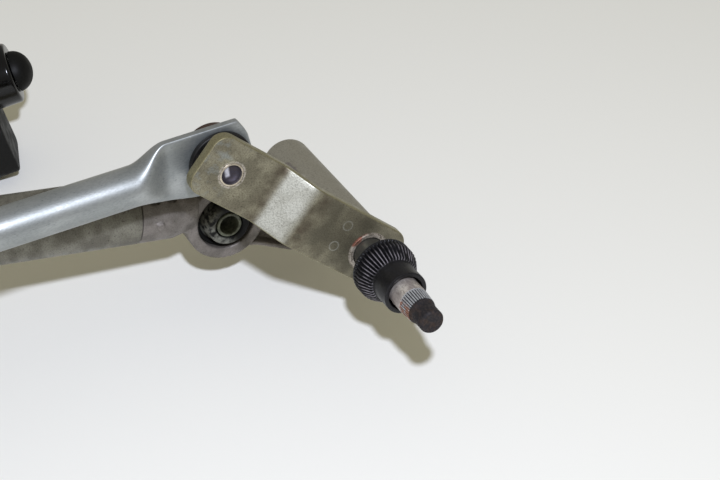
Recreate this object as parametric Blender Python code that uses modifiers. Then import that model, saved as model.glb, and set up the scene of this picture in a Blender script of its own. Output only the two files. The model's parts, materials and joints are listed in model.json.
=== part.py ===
"""Wiper linkage: two wiper pivots on a tubular frame, joined by ball-jointed rods.

The model is drawn in the face frame: x along the line that joins the two spindles, y up
the housings, z out along the spindles towards the wiper arms. One root empty turns that
frame upright, so in the world the spindles point to -Y and y becomes +Z. The origin is
the centre of the right spindle's tip. Heights named LEVEL are measured along a spindle
from the front face of its lever's hub, positive towards the tip.
"""

import math

import bmesh
import bpy
import numpy as np
from mathutils import Matrix, Vector

# Layout of the whole linkage
PIVOT_SPACING = 0.420
SPINDLE_PROJECTION = 0.045
CLEARANCE = 0.0003
LEVER_REST_ANGLE = 135.0

# Steel lever, a flat bar with a double bend
LEVER_LENGTH = 0.055
LEVER_WIDTH = 0.021
LEVER_THICKNESS = 0.004
LEVER_HUB_END = 0.011
LEVER_STUD_END = 0.0115
LEVER_CORNER = 0.005
LEVER_OVERHANG = 0.002
LEVER_STEP = 0.008
BEND_START = 0.0295
BEND_LENGTH = 0.0100
BEND_RADIUS = 0.005
STAKE_RADIUS = 0.0068
STAKE_HEIGHT = 0.0005

# Spindle
SPINDLE_RADIUS = 0.005
SHOULDER_RADIUS = 0.0052
SHOULDER_LEVEL = 0.0145
TIP_RADIUS = 0.0040
TIP_LENGTH = 0.0052
TIP_EDGE = 0.0010
TAIL_EDGE = 0.0010
CONE_LENGTH = 0.0023
BAND_LENGTH = 0.0052
BAND_FRONT_RADIUS = 0.00465
SERRATION_COUNT = 36
SERRATION_DEPTH = 0.00035
SPINDLE_TAIL = 0.0020

# Ribbed collar on the spindle
COLLAR_LEVEL = 0.0100
COLLAR_RADIUS = 0.0103
COLLAR_RIM_LENGTH = 0.0042
COLLAR_CONE_LENGTH = 0.0044
COLLAR_LENGTH = 0.0170
SLEEVE_RADIUS = 0.00725
SLEEVE_BORE = 0.00575
COLLAR_SEAT_LENGTH = 0.0042
RIDGE_COUNT = 48
RIDGE_DEPTH = 0.00065

# Pivot housing, a casting
BARREL_RADIUS = 0.0088
BARREL_LENGTH = 0.0609
BARREL_EDGE = 0.0016
BARREL_WALL = 0.0019
THRUST_WASHER = 0.0010
EYE_X = 0.0330
EYE_Y = 0.0020
EYE_HOLE = 0.0100
EYE_WALL = 0.0038
EYE_THICKNESS = 0.0140
FRAME_LEVEL = -0.0460
WEB_THICKNESS = 0.0100
WEB_POCKET_DEPTH = 0.0042
WEB_RIM = 0.0022
WEB_FOOT_X = 0.0110
WEB_FOOT_Y = 0.0195
SHANK_RADIUS = 0.0110
SHANK_LENGTH = 0.0200
SHANK_POCKETS = ((0.0030, 0.0065), (0.0090, 0.0120), (0.0145, 0.0205))
POCKET_DEPTH = 0.0030
POCKET_WIDTH = 0.0060
POCKET_TILT = 49.0
SPIGOT_LENGTH = 0.0220
SPIGOT_CHAMFER = 0.0010
WEB_FILLET = 0.0030

# Bushes, washers and retaining rings in the barrel
BUSH_WALL = 0.0013
FRONT_BUSH_LENGTH = 0.0140
REAR_BUSH_LENGTH = 0.0140
REAR_BUSH_LEVEL = -0.0420
REAR_WASHER = 0.0010
CIRCLIP_THICKNESS = 0.0010
CIRCLIP_DEPTH = 0.0006
CIRCLIP_GAP_ANGLE = 50.0

# Rubber mount in the housing's eye
SPACER_BORE = 0.0033
SPACER_RADIUS = 0.0043
SPACER_LENGTH = 0.0190
GROMMET_LIP = 0.0025
GROMMET_HUB_WALL = 0.0026
GROMMET_WAIST = 0.0030
GROMMET_EDGE = 0.0010

# Frame tube
TUBE_RADIUS = 0.0110
TUBE_WALL = 0.0015
TUBE_SLOPE = 11.0
SEAM_X = 0.0621
SEAM_Y = 0.0134
TUBE_BEND_X = 0.1500
TUBE_BEND_RADIUS = 0.0600

# Ball joints
BALL_RADIUS = 0.0060
BALL_NECK = 0.0038
STUD_SHANK = 0.0040
STUD_COLLAR_RADIUS = 0.0056
STUD_COLLAR_LENGTH = 0.0011
STUD_DIMPLE_RADIUS = 0.0033
STUD_DIMPLE_DEPTH = 0.0020
REAR_BALL_DROP = 0.0075
FRONT_BALL_RISE = 0.0120
CUP_RADIUS = 0.0082
CUP_WALL = 0.0020
CUP_FLANGE_RADIUS = 0.0105
CUP_FLANGE = 0.0020
CUP_STRAIGHT = 0.0052

# Rods, flattened at both ends
ROD_RADIUS = 0.0065
ROD_WALL = 0.0012
FLAT_THICKNESS = 0.0030
FLAT_HALF_WIDTH = 0.01175
FLAT_LENGTH = 0.0130
FLARE_LENGTH = 0.0190
ROD_END = 0.0115
ROD_END_RADIUS = 0.0200

# Motor crank
CRANK_X = -0.2200
CRANK_RISE = 0.045514
CRANK_THICKNESS = 0.0045
CRANK_EYE_RADIUS = 0.0085
CRANK_HUB_RADIUS = 0.0110
CRANK_HUB_RISE = 0.0022
CRANK_BORE = 0.0042

# Motor bracket, a casting clamped to the middle of the frame tube
BRACKET_LEVEL = -0.0320
BRACKET_THICKNESS = 0.0060
BRACKET_LEG = 0.0400
BRACKET_SHOULDER = 0.0360
MOTOR_HOLE = 0.0130
MOTOR_COLLAR_WALL = 0.0040
MOTOR_COLLAR_HEIGHT = 0.0050
MOTOR_PITCH = 0.0310
MOTOR_SCREW_HOLE = 0.0035
MOTOR_EAR = 0.0085
MOTOR_PAD_RADIUS = 0.0075
MOTOR_PAD_HEIGHT = 0.0030
SADDLE_LIP = 0.0032
SADDLE_INSET = 0.0020
SADDLE_RELIEF = 0.0005
BRACKET_CORNER = 0.0060
CLAMP_SCREW_RADIUS = 0.0030
CLAMP_SCREW_PITCH = 0.0500
CLAMP_HEAD_RADIUS = 0.0058
CLAMP_HEAD = 0.0042
CLAMP_SCREW_END = 0.0010
ARM_HEIGHT = 0.0140
ARM_THICKNESS = 0.0080
ARM_START = 0.0220
ARM_DROP = 0.0220
ARM_BEND_RADIUS = 0.0200
ARM_STEPS = ((-0.0720, -0.0560), (-0.0270, -0.1120), (-0.0025, -0.1325))

# Rubber buffer, its cap and the foot at the end of the bracket's arm
BUFFER_X = -0.0880
BUFFER_Y = 0.0275
BUFFER_LEVEL = -0.1324
BUFFER_AXIS = (0.952, 0.184, 0.245)
BUFFER_RADIUS = 0.0108
BUFFER_LENGTH = 0.0150
BUFFER_EDGE = 0.0012
CAP_RADIUS = 0.0073
CAP_HEIGHT = 0.0062
CAP_STEM = 0.0030
PIN_RADIUS = 0.0030
END_PLATE = 0.0060
END_PLATE_HALF_WIDTH = 0.0090
END_PLATE_TOP = 0.0300
END_PLATE_BOTTOM = -0.0200
END_PLATE_CORNER = 0.0030
FOOT_BOTTOM = -0.0330
FOOT_TOP = -0.0130
FOOT_HALF_WIDTH = 0.0115
FOOT_WALL = 0.0045
FOOT_CORNER = 0.0030

# Fineness of the round shapes
FINE_STEPS = 24
ROUND_STEPS = 18
SMALL_STEPS = 14
TUBE_RESOLUTION = 5
ROD_SIDES = 12
TEETH_PER_FACET = 3
FLARE_SECTIONS = 4

ORIGIN = Vector((0.0, 0.0, 0.0))


def level(height):
    """Face-frame z of a height measured from the front face of the lever's hub."""
    return height - SPINDLE_PROJECTION


# Levels that several pieces share
HUB_BACK = -LEVER_THICKNESS
STUD_FACE = -LEVER_STEP
STUD_BACK = STUD_FACE - LEVER_THICKNESS
BARREL_FRONT = HUB_BACK - THRUST_WASHER - 2 * CLEARANCE
BARREL_BACK = BARREL_FRONT - BARREL_LENGTH
BARREL_BORE = BARREL_RADIUS - BARREL_WALL
BUSH_BORE = SPINDLE_RADIUS + CLEARANCE
BUSH_RADIUS = BUSH_BORE + BUSH_WALL
REAR_BUSH_BACK = REAR_BUSH_LEVEL - REAR_BUSH_LENGTH
REAR_WASHER_FRONT = REAR_BUSH_BACK - CLEARANCE
CIRCLIP_FRONT = REAR_WASHER_FRONT - REAR_WASHER - CLEARANCE
SPINDLE_END = CIRCLIP_FRONT - CIRCLIP_THICKNESS - SPINDLE_TAIL
REAR_BALL = STUD_BACK - REAR_BALL_DROP
FRONT_BALL = STUD_FACE + FRONT_BALL_RISE
CUP_BORE = BALL_RADIUS + CLEARANCE


def polar(radius, degrees):
    """Point of a circle about the origin."""
    angle = math.radians(degrees)
    return Vector((radius * math.cos(angle), radius * math.sin(angle), 0.0))


STUD_AT_REST = polar(LEVER_LENGTH, LEVER_REST_ANGLE)
LEFT_AXIS = Vector((-PIVOT_SPACING, 0.0, 0.0))
CRANK_RADIUS = abs(STUD_AT_REST.x)
TUBE_HIGH = SEAM_Y + math.tan(math.radians(TUBE_SLOPE)) * (TUBE_BEND_X - SEAM_X)
CRANK_Y = TUBE_HIGH + CRANK_RISE
CRANK_PIN = Vector((CRANK_X - CRANK_RADIUS, CRANK_Y, 0.0))


def clear_scene():
    """Remove what the scene holds at the start."""
    for obj in list(bpy.data.objects):
        bpy.data.objects.remove(obj, do_unlink=True)


def new_collection(name):
    """Make a collection in the scene."""
    collection = bpy.data.collections.new(name)
    bpy.context.scene.collection.children.link(collection)
    return collection


def principled(name, colour, roughness, metallic=0.0):
    """Plain material of one colour."""
    material = bpy.data.materials.new(name)
    material.use_nodes = True
    shader = material.node_tree.nodes["Principled BSDF"]
    shader.inputs["Base Color"].default_value = (*colour, 1.0)
    shader.inputs["Roughness"].default_value = roughness
    shader.inputs["Metallic"].default_value = metallic
    return material


class Kit:
    """Collections, materials and root empty of the pieces being made."""

    def __init__(self):
        self.pieces = new_collection("wiper_linkage")
        self.guides = new_collection("cutters")
        self.root = self.empty("linkage_root", ORIGIN, None)
        self.root.rotation_euler = (math.radians(90), 0.0, 0.0)
        self.cast = principled("cast_aluminium", (0.45, 0.44, 0.43), 0.55, 1.0)
        self.zinc = principled("zinc_plated_steel", (0.62, 0.64, 0.66), 0.32, 1.0)
        self.passivated = principled("passivated_steel", (0.47, 0.46, 0.40), 0.42, 1.0)
        self.steel = principled("bright_steel", (0.56, 0.54, 0.52), 0.35, 1.0)
        self.plastic = principled("black_plastic", (0.03, 0.03, 0.033), 0.45)
        self.natural = principled("natural_plastic", (0.72, 0.70, 0.64), 0.50)
        self.rubber = principled("black_rubber", (0.04, 0.04, 0.038), 0.75)

    def empty(self, name, location, parent):
        """Empty that carries the pieces of one axis."""
        obj = bpy.data.objects.new(name, None)
        self.pieces.objects.link(obj)
        obj.parent = parent
        obj.location = location
        return obj

    def place(self, name, mesh, material, parent, location=ORIGIN):
        """Put a mesh into the scene as a piece."""
        obj = bpy.data.objects.new(name, mesh)
        self.pieces.objects.link(obj)
        mesh.materials.append(material)
        obj.parent = parent
        obj.location = location
        return obj

    def guide(self, obj):
        """Turn a piece into a hidden cutter or operand."""
        self.pieces.objects.unlink(obj)
        self.guides.objects.link(obj)
        obj.hide_render = True
        obj.display_type = "WIRE"
        return obj


def boolean(obj, other, operation):
    """Add an exact Boolean modifier."""
    modifier = obj.modifiers.new(operation.title(), "BOOLEAN")
    modifier.operation = operation
    modifier.solver = "EXACT"
    modifier.object = other


def turned(kit, name, profile, steps, material, parent, location=ORIGIN, ring=False):
    """Solid turned about its local z axis.

    The profile is a list of (radius, z), running down the outer side. A ring's profile
    closes on itself; a solid's profile starts and ends on the axis.
    """
    mesh = bpy.data.meshes.new(name)
    edges = [(i, i + 1) for i in range(len(profile) - 1)]
    if ring:
        edges.append((len(profile) - 1, 0))
    mesh.from_pydata([(radius, 0.0, z) for radius, z in profile], edges, [])
    obj = kit.place(name, mesh, material, parent, location)
    screw = obj.modifiers.new("Turn", "SCREW")
    screw.axis = "Z"
    screw.steps = steps
    screw.render_steps = steps
    screw.use_merge_vertices = True
    screw.merge_threshold = 0.00001
    screw.use_smooth_shade = True
    return obj


def cylinder_profile(radius, top, bottom):
    """Profile of a plain cylinder between two heights."""
    return [(0.0, top), (radius, top), (radius, bottom), (0.0, bottom)]


def ring_profile(inner, outer, top, bottom, chamfer=0.0):
    """Profile of a ring with optional outer chamfers."""
    if chamfer == 0.0:
        return [(inner, top), (outer, top), (outer, bottom), (inner, bottom)]
    return [(inner, top), (outer - chamfer, top), (outer, top - chamfer),
            (outer, bottom + chamfer), (outer - chamfer, bottom), (inner, bottom)]


def cut_round(kit, obj, name, radius, top, bottom, parent, location=ORIGIN,
              steps=ROUND_STEPS):
    """Cut a round hole along the local z axis, its facets half a step round."""
    profile = cylinder_profile(radius, top, bottom)
    cutter = kit.guide(turned(kit, name, profile, steps, kit.cast, parent, location))
    cutter.rotation_euler = (0.0, 0.0, math.pi / steps)
    boolean(obj, cutter, "DIFFERENCE")
    return cutter


def mesh_of(obj, name):
    """Closed mesh of a curve object, with its caps welded."""
    bpy.context.view_layer.update()
    graph = bpy.context.evaluated_depsgraph_get()
    mesh = bpy.data.meshes.new_from_object(obj.evaluated_get(graph))
    mesh.name = name
    work = bmesh.new()
    work.from_mesh(mesh)
    bmesh.ops.remove_doubles(work, verts=work.verts, dist=0.00001)
    work.to_mesh(mesh)
    work.free()
    mesh.materials.clear()
    bpy.data.objects.remove(obj, do_unlink=True)
    return mesh


def plate(kit, name, outline, thickness, material, parent, location=ORIGIN):
    """Flat piece of one closed outline, centred on its local xy plane."""
    curve = bpy.data.curves.new(name, "CURVE")
    curve.dimensions = "2D"
    curve.fill_mode = "BOTH"
    curve.extrude = thickness / 2
    spline = curve.splines.new("POLY")
    spline.points.add(len(outline) - 1)
    for point, (x, y) in zip(spline.points, outline):
        point.co = (x, y, 0.0, 1.0)
    spline.use_cyclic_u = True
    guide = bpy.data.objects.new(name + "_outline", curve)
    kit.guides.objects.link(guide)
    return kit.place(name, mesh_of(guide, name), material, parent, location)


def filleted(points, radius, segments=4, closed=False):
    """Polyline whose corners are replaced by arcs that touch both sides."""
    result = []
    last = len(points) - 1
    for i, corner in enumerate(points):
        if not closed and i in (0, last):
            result.append(tuple(corner))
            continue
        corner = Vector(corner)
        back = (Vector(points[i - 1]) - corner)
        ahead = (Vector(points[(i + 1) % len(points)]) - corner)
        limit = 0.48 * min(back.length, ahead.length)
        back.normalize()
        ahead.normalize()
        half = back.angle(ahead) / 2
        reach = min(radius / math.tan(half), limit)
        arc_radius = reach * math.tan(half)
        centre = corner + (back + ahead).normalized() * (arc_radius / math.sin(half))
        start = corner + back * reach - centre
        end = corner + ahead * reach - centre
        turn = start.angle_signed(end)
        for k in range(segments + 1):
            arm = start.copy()
            arm.rotate(Matrix.Rotation(-turn * k / segments, 2))
            result.append(tuple(centre + arm))
    return result


def arc_points(centre, radius, start, end, count):
    """Points of an arc, its ends included, angles in degrees."""
    angles = [math.radians(start + (end - start) * k / (count - 1)) for k in range(count)]
    return [(centre[0] + radius * math.cos(a), centre[1] + radius * math.sin(a))
            for a in angles]


def strip_outline(centreline, thickness):
    """Closed outline of a bar of even thickness along a centreline."""
    points = np.array(centreline)
    steps = np.diff(points, axis=0)
    steps /= np.linalg.norm(steps, axis=1)[:, None]
    before = np.vstack([steps[:1], steps])
    after = np.vstack([steps, steps[-1:]])
    bisector = before + after
    bisector /= np.linalg.norm(bisector, axis=1)[:, None]
    stretch = 1.0 / np.sum(bisector * before, axis=1)
    normal = np.stack([-bisector[:, 1], bisector[:, 0]], axis=1) * stretch[:, None]
    upper = points + normal * thickness / 2
    lower = points - normal * thickness / 2
    return [tuple(p) for p in upper] + [tuple(p) for p in lower[::-1]]


def rounded_box_outline(x_low, x_high, half_height, corner):
    """Rectangle with rounded corners, centred on the x axis."""
    corners = [(x_low, -half_height), (x_high, -half_height),
               (x_high, half_height), (x_low, half_height)]
    return filleted(corners, corner, closed=True)


def groove_ring(kit, name, count, path, depth, parent):
    """Cutter of V grooves round the z axis, each along a path of (radius, z) points.

    A groove is a rhombus carried along the path: its inner corner lies the given depth
    under the path, and its width leaves a land between neighbours.
    """
    points = np.array(path)
    steps = np.diff(points, axis=0)
    steps /= np.linalg.norm(steps, axis=1)[:, None]
    mean = np.vstack([steps[:1], (steps[:-1] + steps[1:]) / 2, steps[-1:]])
    mean /= np.linalg.norm(mean, axis=1)[:, None]
    outward = np.stack([mean[:, 1], -mean[:, 0]], axis=1)
    half_width = 0.45 * 2 * math.pi * points[:, 0].min() / count
    rise = 2.2 * depth
    work = bmesh.new()
    for k in range(count):
        spin = Matrix.Rotation(2 * math.pi * k / count, 3, "Z")
        rings = []
        for (radius, z), (out_r, out_z) in zip(points, outward):
            corners = ((-depth, 0.0), (rise / 2 - depth / 2, half_width), (rise, 0.0),
                       (rise / 2 - depth / 2, -half_width))
            rings.append([work.verts.new(spin @ Vector(
                (radius + out_r * lift, across, z + out_z * lift)))
                for lift, across in corners])
        for lower, upper in zip(rings, rings[1:]):
            for i in range(4):
                j = (i + 1) % 4
                work.faces.new((lower[i], lower[j], upper[j], upper[i]))
        work.faces.new(list(reversed(rings[0])))
        work.faces.new(rings[-1])
    bmesh.ops.recalc_face_normals(work, faces=work.faces)
    mesh = bpy.data.meshes.new(name)
    work.to_mesh(mesh)
    work.free()
    return kit.guide(kit.place(name, mesh, kit.plastic, parent))


def make_spindle(kit, side, axis):
    """Turned shaft: dark tip, cone, serrated band, shoulder, journal and circlip groove."""
    cone_top = -TIP_LENGTH
    band_top = cone_top - CONE_LENGTH
    band_bottom = band_top - BAND_LENGTH
    groove_radius = SPINDLE_RADIUS - CIRCLIP_DEPTH
    groove_top = level(CIRCLIP_FRONT) + CLEARANCE / 2
    groove_bottom = level(CIRCLIP_FRONT - CIRCLIP_THICKNESS) - CLEARANCE / 2
    end = level(SPINDLE_END)
    profile = [
        (0.0, 0.0), (TIP_RADIUS - TIP_EDGE, 0.0),
        (TIP_RADIUS - 0.3 * TIP_EDGE, -0.3 * TIP_EDGE),
        (TIP_RADIUS, -TIP_EDGE), (TIP_RADIUS, cone_top), (BAND_FRONT_RADIUS, band_top),
        (SPINDLE_RADIUS, band_bottom), (SPINDLE_RADIUS, level(SHOULDER_LEVEL)),
        (SHOULDER_RADIUS, level(SHOULDER_LEVEL) - CLEARANCE),
        (SHOULDER_RADIUS, level(HUB_BACK)), (SPINDLE_RADIUS, level(HUB_BACK)),
        (SPINDLE_RADIUS, groove_top), (groove_radius, groove_top),
        (groove_radius, groove_bottom), (SPINDLE_RADIUS, groove_bottom),
        (SPINDLE_RADIUS, end + TAIL_EDGE), (SPINDLE_RADIUS - TAIL_EDGE, end), (0.0, end)]
    spindle = turned(kit, side + "_spindle", profile, SERRATION_COUNT // TEETH_PER_FACET,
                     kit.steel, axis)
    grooves = groove_ring(kit, side + "_serration_cutter", SERRATION_COUNT,
                          [(SPINDLE_RADIUS, band_bottom), (BAND_FRONT_RADIUS, band_top)],
                          SERRATION_DEPTH, axis)
    boolean(spindle, grooves, "DIFFERENCE")


def make_collar(kit, side, axis):
    """Ribbed collar: a ridged rim and cone that run into a plain sleeve."""
    back = level(COLLAR_LEVEL)
    rim_top = back + COLLAR_RIM_LENGTH
    cone_top = rim_top + COLLAR_CONE_LENGTH
    front = back + COLLAR_LENGTH
    seat_bore = SHOULDER_RADIUS + CLEARANCE
    seat_top = back + COLLAR_SEAT_LENGTH
    profile = [
        (SLEEVE_BORE, front), (SLEEVE_RADIUS, front), (SLEEVE_RADIUS, cone_top),
        (COLLAR_RADIUS, rim_top), (COLLAR_RADIUS, back), (seat_bore, back),
        (seat_bore, seat_top), (SLEEVE_BORE, seat_top)]
    collar = turned(kit, side + "_ribbed_collar", profile, RIDGE_COUNT // TEETH_PER_FACET,
                    kit.plastic, axis, ring=True)
    overrun = 2 * RIDGE_DEPTH
    path = [(COLLAR_RADIUS, back - overrun), (COLLAR_RADIUS, rim_top),
            (SLEEVE_RADIUS + RIDGE_DEPTH, cone_top)]
    grooves = groove_ring(kit, side + "_ridge_cutter", RIDGE_COUNT, path, RIDGE_DEPTH, axis)
    boolean(collar, grooves, "DIFFERENCE")


def make_lever(kit, side, axis):
    """Lever bent down from the hub's plane to the stud's plane, with both holes."""
    hub_plane = level(-LEVER_THICKNESS / 2)
    stud_plane = hub_plane - LEVER_STEP
    line = [(-LEVER_HUB_END - LEVER_OVERHANG, hub_plane), (BEND_START, hub_plane),
            (BEND_START + BEND_LENGTH, stud_plane),
            (LEVER_LENGTH + LEVER_STUD_END + LEVER_OVERHANG, stud_plane)]
    outline = strip_outline(filleted(line, BEND_RADIUS), LEVER_THICKNESS)
    lever = plate(kit, side + "_lever", outline, LEVER_WIDTH + 2 * LEVER_OVERHANG,
                  kit.passivated, axis)
    lever.rotation_euler = (math.radians(90), 0.0, 0.0)
    plan = rounded_box_outline(-LEVER_HUB_END, LEVER_LENGTH + LEVER_STUD_END,
                               LEVER_WIDTH / 2, LEVER_CORNER)
    middle = (hub_plane + stud_plane) / 2
    blank = kit.guide(plate(kit, side + "_lever_plan", plan, 4 * LEVER_STEP,
                            kit.passivated, axis, Vector((0.0, 0.0, middle))))
    boolean(lever, blank, "INTERSECT")
    face = level(0.0)
    stake = kit.guide(turned(
        kit, side + "_staked_ring",
        ring_profile(SPINDLE_RADIUS, STAKE_RADIUS, face + STAKE_HEIGHT,
                     face - LEVER_THICKNESS / 2), ROUND_STEPS, kit.passivated, axis,
        ring=True))
    boolean(lever, stake, "UNION")
    cut_round(kit, lever, side + "_hub_hole", SHOULDER_RADIUS + CLEARANCE,
              face + LEVER_STEP, face - 2 * LEVER_STEP, axis)
    cut_round(kit, lever, side + "_stud_hole", STUD_SHANK + CLEARANCE,
              face + LEVER_STEP, face - 3 * LEVER_STEP, axis,
              Vector((LEVER_LENGTH, 0.0, 0.0)))


def ball_side(centre, towards):
    """Profile of a ball and its neck's end, on the side of the centre that faces away.

    towards is +1 where the neck is above the ball and -1 where it is below. The points
    run from the neck to the ball's far end.
    """
    neck = math.degrees(math.asin(BALL_NECK / BALL_RADIUS))
    far = 160.0
    angles = [neck + (far - neck) * k / 6 for k in range(7)]
    return [(BALL_RADIUS * math.sin(math.radians(a)),
             centre + towards * BALL_RADIUS * math.cos(math.radians(a))) for a in angles]


def make_ball_stud(kit, name, parent, plate_front, plate_back, rear=None, front=None):
    """Riveted ball stud through a plate, with a ball behind it, before it, or both."""
    top = level(plate_front)
    bottom = level(plate_back)
    profile = []
    if front is None:
        profile += [(0.0, top - STUD_DIMPLE_DEPTH),
                    (0.6 * STUD_DIMPLE_RADIUS, top - STUD_DIMPLE_DEPTH),
                    (STUD_DIMPLE_RADIUS, top - 0.3 * STUD_DIMPLE_DEPTH),
                    (STUD_DIMPLE_RADIUS, top), (STUD_SHANK, top)]
    else:
        collar = top + CLEARANCE
        ball = list(reversed(ball_side(level(front), -1)))
        profile += [(0.0, ball[0][1])] + ball
        profile += [(BALL_NECK, collar + STUD_COLLAR_LENGTH),
                    (STUD_COLLAR_RADIUS, collar + STUD_COLLAR_LENGTH),
                    (STUD_COLLAR_RADIUS, collar), (STUD_SHANK, collar)]
    if rear is None:
        profile += [(STUD_SHANK, bottom), (STUD_DIMPLE_RADIUS, bottom),
                    (STUD_DIMPLE_RADIUS, bottom + 0.3 * STUD_DIMPLE_DEPTH),
                    (0.6 * STUD_DIMPLE_RADIUS, bottom + STUD_DIMPLE_DEPTH),
                    (0.0, bottom + STUD_DIMPLE_DEPTH)]
    else:
        collar = bottom - CLEARANCE
        ball = ball_side(level(rear), 1)
        profile += [(STUD_SHANK, collar), (STUD_COLLAR_RADIUS, collar),
                    (STUD_COLLAR_RADIUS, collar - STUD_COLLAR_LENGTH),
                    (BALL_NECK, collar - STUD_COLLAR_LENGTH)]
        profile += ball + [(0.0, ball[-1][1])]
    turned(kit, name, profile, SMALL_STEPS, kit.steel, parent)


def make_cup(kit, name, parent, centre, towards):
    """Pressed-on ball cup: flange on the mouth's side, round body, domed closed end.

    towards is +1 where the mouth faces up the z axis and -1 where it faces down.
    """
    mouth = FLAT_THICKNESS / 2 + CLEARANCE + CUP_FLANGE
    mouth_angle = math.degrees(math.acos(mouth / CUP_BORE))
    inner = [mouth_angle + (180.0 - mouth_angle) * k / 6 for k in range(7)]
    cavity = [(CUP_BORE * math.sin(math.radians(a)), CUP_BORE * math.cos(math.radians(a)))
              for a in inner]
    cavity[-1] = (0.0, -CUP_BORE)
    body_end = mouth - CUP_FLANGE - CUP_STRAIGHT - FLAT_THICKNESS
    dome = -CUP_BORE - CUP_WALL
    outer = [(CUP_FLANGE_RADIUS, mouth), (CUP_FLANGE_RADIUS, mouth - CUP_FLANGE),
             (CUP_RADIUS, mouth - CUP_FLANGE), (CUP_RADIUS, body_end),
             (0.85 * CUP_RADIUS, body_end + 0.5 * (dome - body_end)),
             (0.5 * CUP_RADIUS, body_end + 0.85 * (dome - body_end)), (0.0, dome)]
    profile = list(reversed(cavity)) + outer
    cup = turned(kit, name, profile, SMALL_STEPS, kit.plastic, parent,
                 Vector((0.0, 0.0, level(centre))))
    if towards < 0:
        cup.rotation_euler = (math.pi, 0.0, 0.0)


def rod_section(station, length):
    """Half width and half thickness of a rod at a distance along it."""
    reach = min(station, length - station)
    share = min(max((reach - FLAT_LENGTH) / FLARE_LENGTH, 0.0), 1.0)
    ease = share * share * (3.0 - 2.0 * share)
    return (FLAT_HALF_WIDTH + (ROD_RADIUS - FLAT_HALF_WIDTH) * ease,
            FLAT_THICKNESS / 2 + (ROD_RADIUS - FLAT_THICKNESS / 2) * ease, ease)


def make_rod(kit, name, parent, offset, centre):
    """Tube of even wall whose flattened ends are holed for the ball cups.

    A section is a squared oval, from a flat strip at the ends to a circle between them.
    The open skin is a grid of such sections, and Solidify gives it its wall.
    """
    length = offset.length
    count = ROD_SIDES
    flare = [FLAT_LENGTH + FLARE_LENGTH * k / (FLARE_SECTIONS - 1)
             for k in range(FLARE_SECTIONS)]
    stations = [-ROD_END - LEVER_OVERHANG, 0.0] + flare
    stations += [length - s for s in reversed(stations)]
    verts = []
    for station in stations:
        width, thick, ease = rod_section(station, length)
        power = 0.35 + 0.65 * ease
        for k in range(count):
            angle = 2 * math.pi * k / count
            c, s = math.cos(angle), math.sin(angle)
            verts.append((station, width * math.copysign(abs(c) ** power, c),
                          thick * math.copysign(abs(s) ** power, s)))
    faces = []
    for i in range(len(stations) - 1):
        for k in range(count):
            n = (k + 1) % count
            faces.append((i * count + k, i * count + n, (i + 1) * count + n,
                          (i + 1) * count + k))
    mesh = bpy.data.meshes.new(name)
    mesh.from_pydata(verts, [], faces)
    mesh.shade_smooth()
    rod = kit.place(name, mesh, kit.zinc, parent, Vector((0.0, 0.0, level(centre))))
    rod.rotation_euler = (0.0, 0.0, math.atan2(offset.y, offset.x))
    wall = rod.modifiers.new("Wall", "SOLIDIFY")
    wall.thickness = ROD_WALL
    wall.offset = -1.0
    arc = math.degrees(math.asin(1.2 * FLAT_HALF_WIDTH / ROD_END_RADIUS))
    far = length + ROD_END - ROD_END_RADIUS
    near = ROD_END_RADIUS - ROD_END
    plan = arc_points((far, 0.0), ROD_END_RADIUS, -arc, arc, 9)
    plan += arc_points((near, 0.0), ROD_END_RADIUS, 180.0 - arc, 180.0 + arc, 9)
    blank = kit.guide(plate(kit, name + "_plan", plan, 4 * ROD_RADIUS, kit.zinc, parent,
                            rod.location))
    blank.rotation_euler = rod.rotation_euler
    boolean(rod, blank, "INTERSECT")
    for label, place in (("near", ORIGIN), ("far", offset)):
        cut_round(kit, rod, name + "_" + label + "_hole", CUP_RADIUS + CLEARANCE,
                  level(centre) + ROD_RADIUS, level(centre) - ROD_RADIUS, parent, place,
                  SMALL_STEPS)


def track(direction):
    """Rotation that turns the local z axis to a direction."""
    return Vector(direction).to_track_quat("Z", "Y").to_euler()


def make_housing(kit, side, axis, hand):
    """Cast pivot housing: barrel, web, rubber-mount eye and shank with its tube spigot.

    hand is -1 where the frame tube leaves to the left and +1 where it leaves to the right.
    """
    middle = Vector((0.0, 0.0, level(FRAME_LEVEL)))
    web = [(hand * x, y) for x, y in web_outline()]
    housing = plate(kit, side + "_housing", web, WEB_THICKNESS, kit.cast, axis, middle)
    pocket = [(hand * x, y) for x, y in web_outline(WEB_RIM)]
    front = middle + Vector((0.0, 0.0, WEB_THICKNESS / 2))
    recess = kit.guide(plate(kit, side + "_web_pocket", pocket, 2 * WEB_POCKET_DEPTH,
                             kit.cast, axis, front))
    boolean(housing, recess, "DIFFERENCE")
    barrel_top = level(BARREL_FRONT)
    barrel_end = level(BARREL_BACK)
    profile = [(0.0, barrel_top), (BARREL_RADIUS, barrel_top),
               (BARREL_RADIUS, barrel_end + BARREL_EDGE),
               (BARREL_RADIUS - 0.3 * BARREL_EDGE, barrel_end + 0.3 * BARREL_EDGE),
               (BARREL_RADIUS - BARREL_EDGE, barrel_end), (0.0, barrel_end)]
    barrel = kit.guide(turned(kit, side + "_barrel", profile, FINE_STEPS, kit.cast, axis))
    barrel.rotation_euler = (0.0, 0.0, math.radians(3.0))
    boolean(housing, barrel, "UNION")
    eye = Vector((hand * EYE_X, EYE_Y, level(FRAME_LEVEL)))
    half = EYE_THICKNESS / 2
    boss = kit.guide(turned(kit, side + "_eye_boss",
                            cylinder_profile(EYE_HOLE + EYE_WALL, half, -half),
                            FINE_STEPS, kit.cast, axis, eye))
    boolean(housing, boss, "UNION")
    cut_round(kit, housing, side + "_barrel_bore", BARREL_BORE, barrel_top + BARREL_RADIUS,
              barrel_end - BARREL_RADIUS, axis)
    make_shank(kit, side, axis, hand, housing)
    cut_round(kit, housing, side + "_eye_hole", EYE_HOLE, 2 * half, -2 * half, axis, eye,
              FINE_STEPS)


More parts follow.
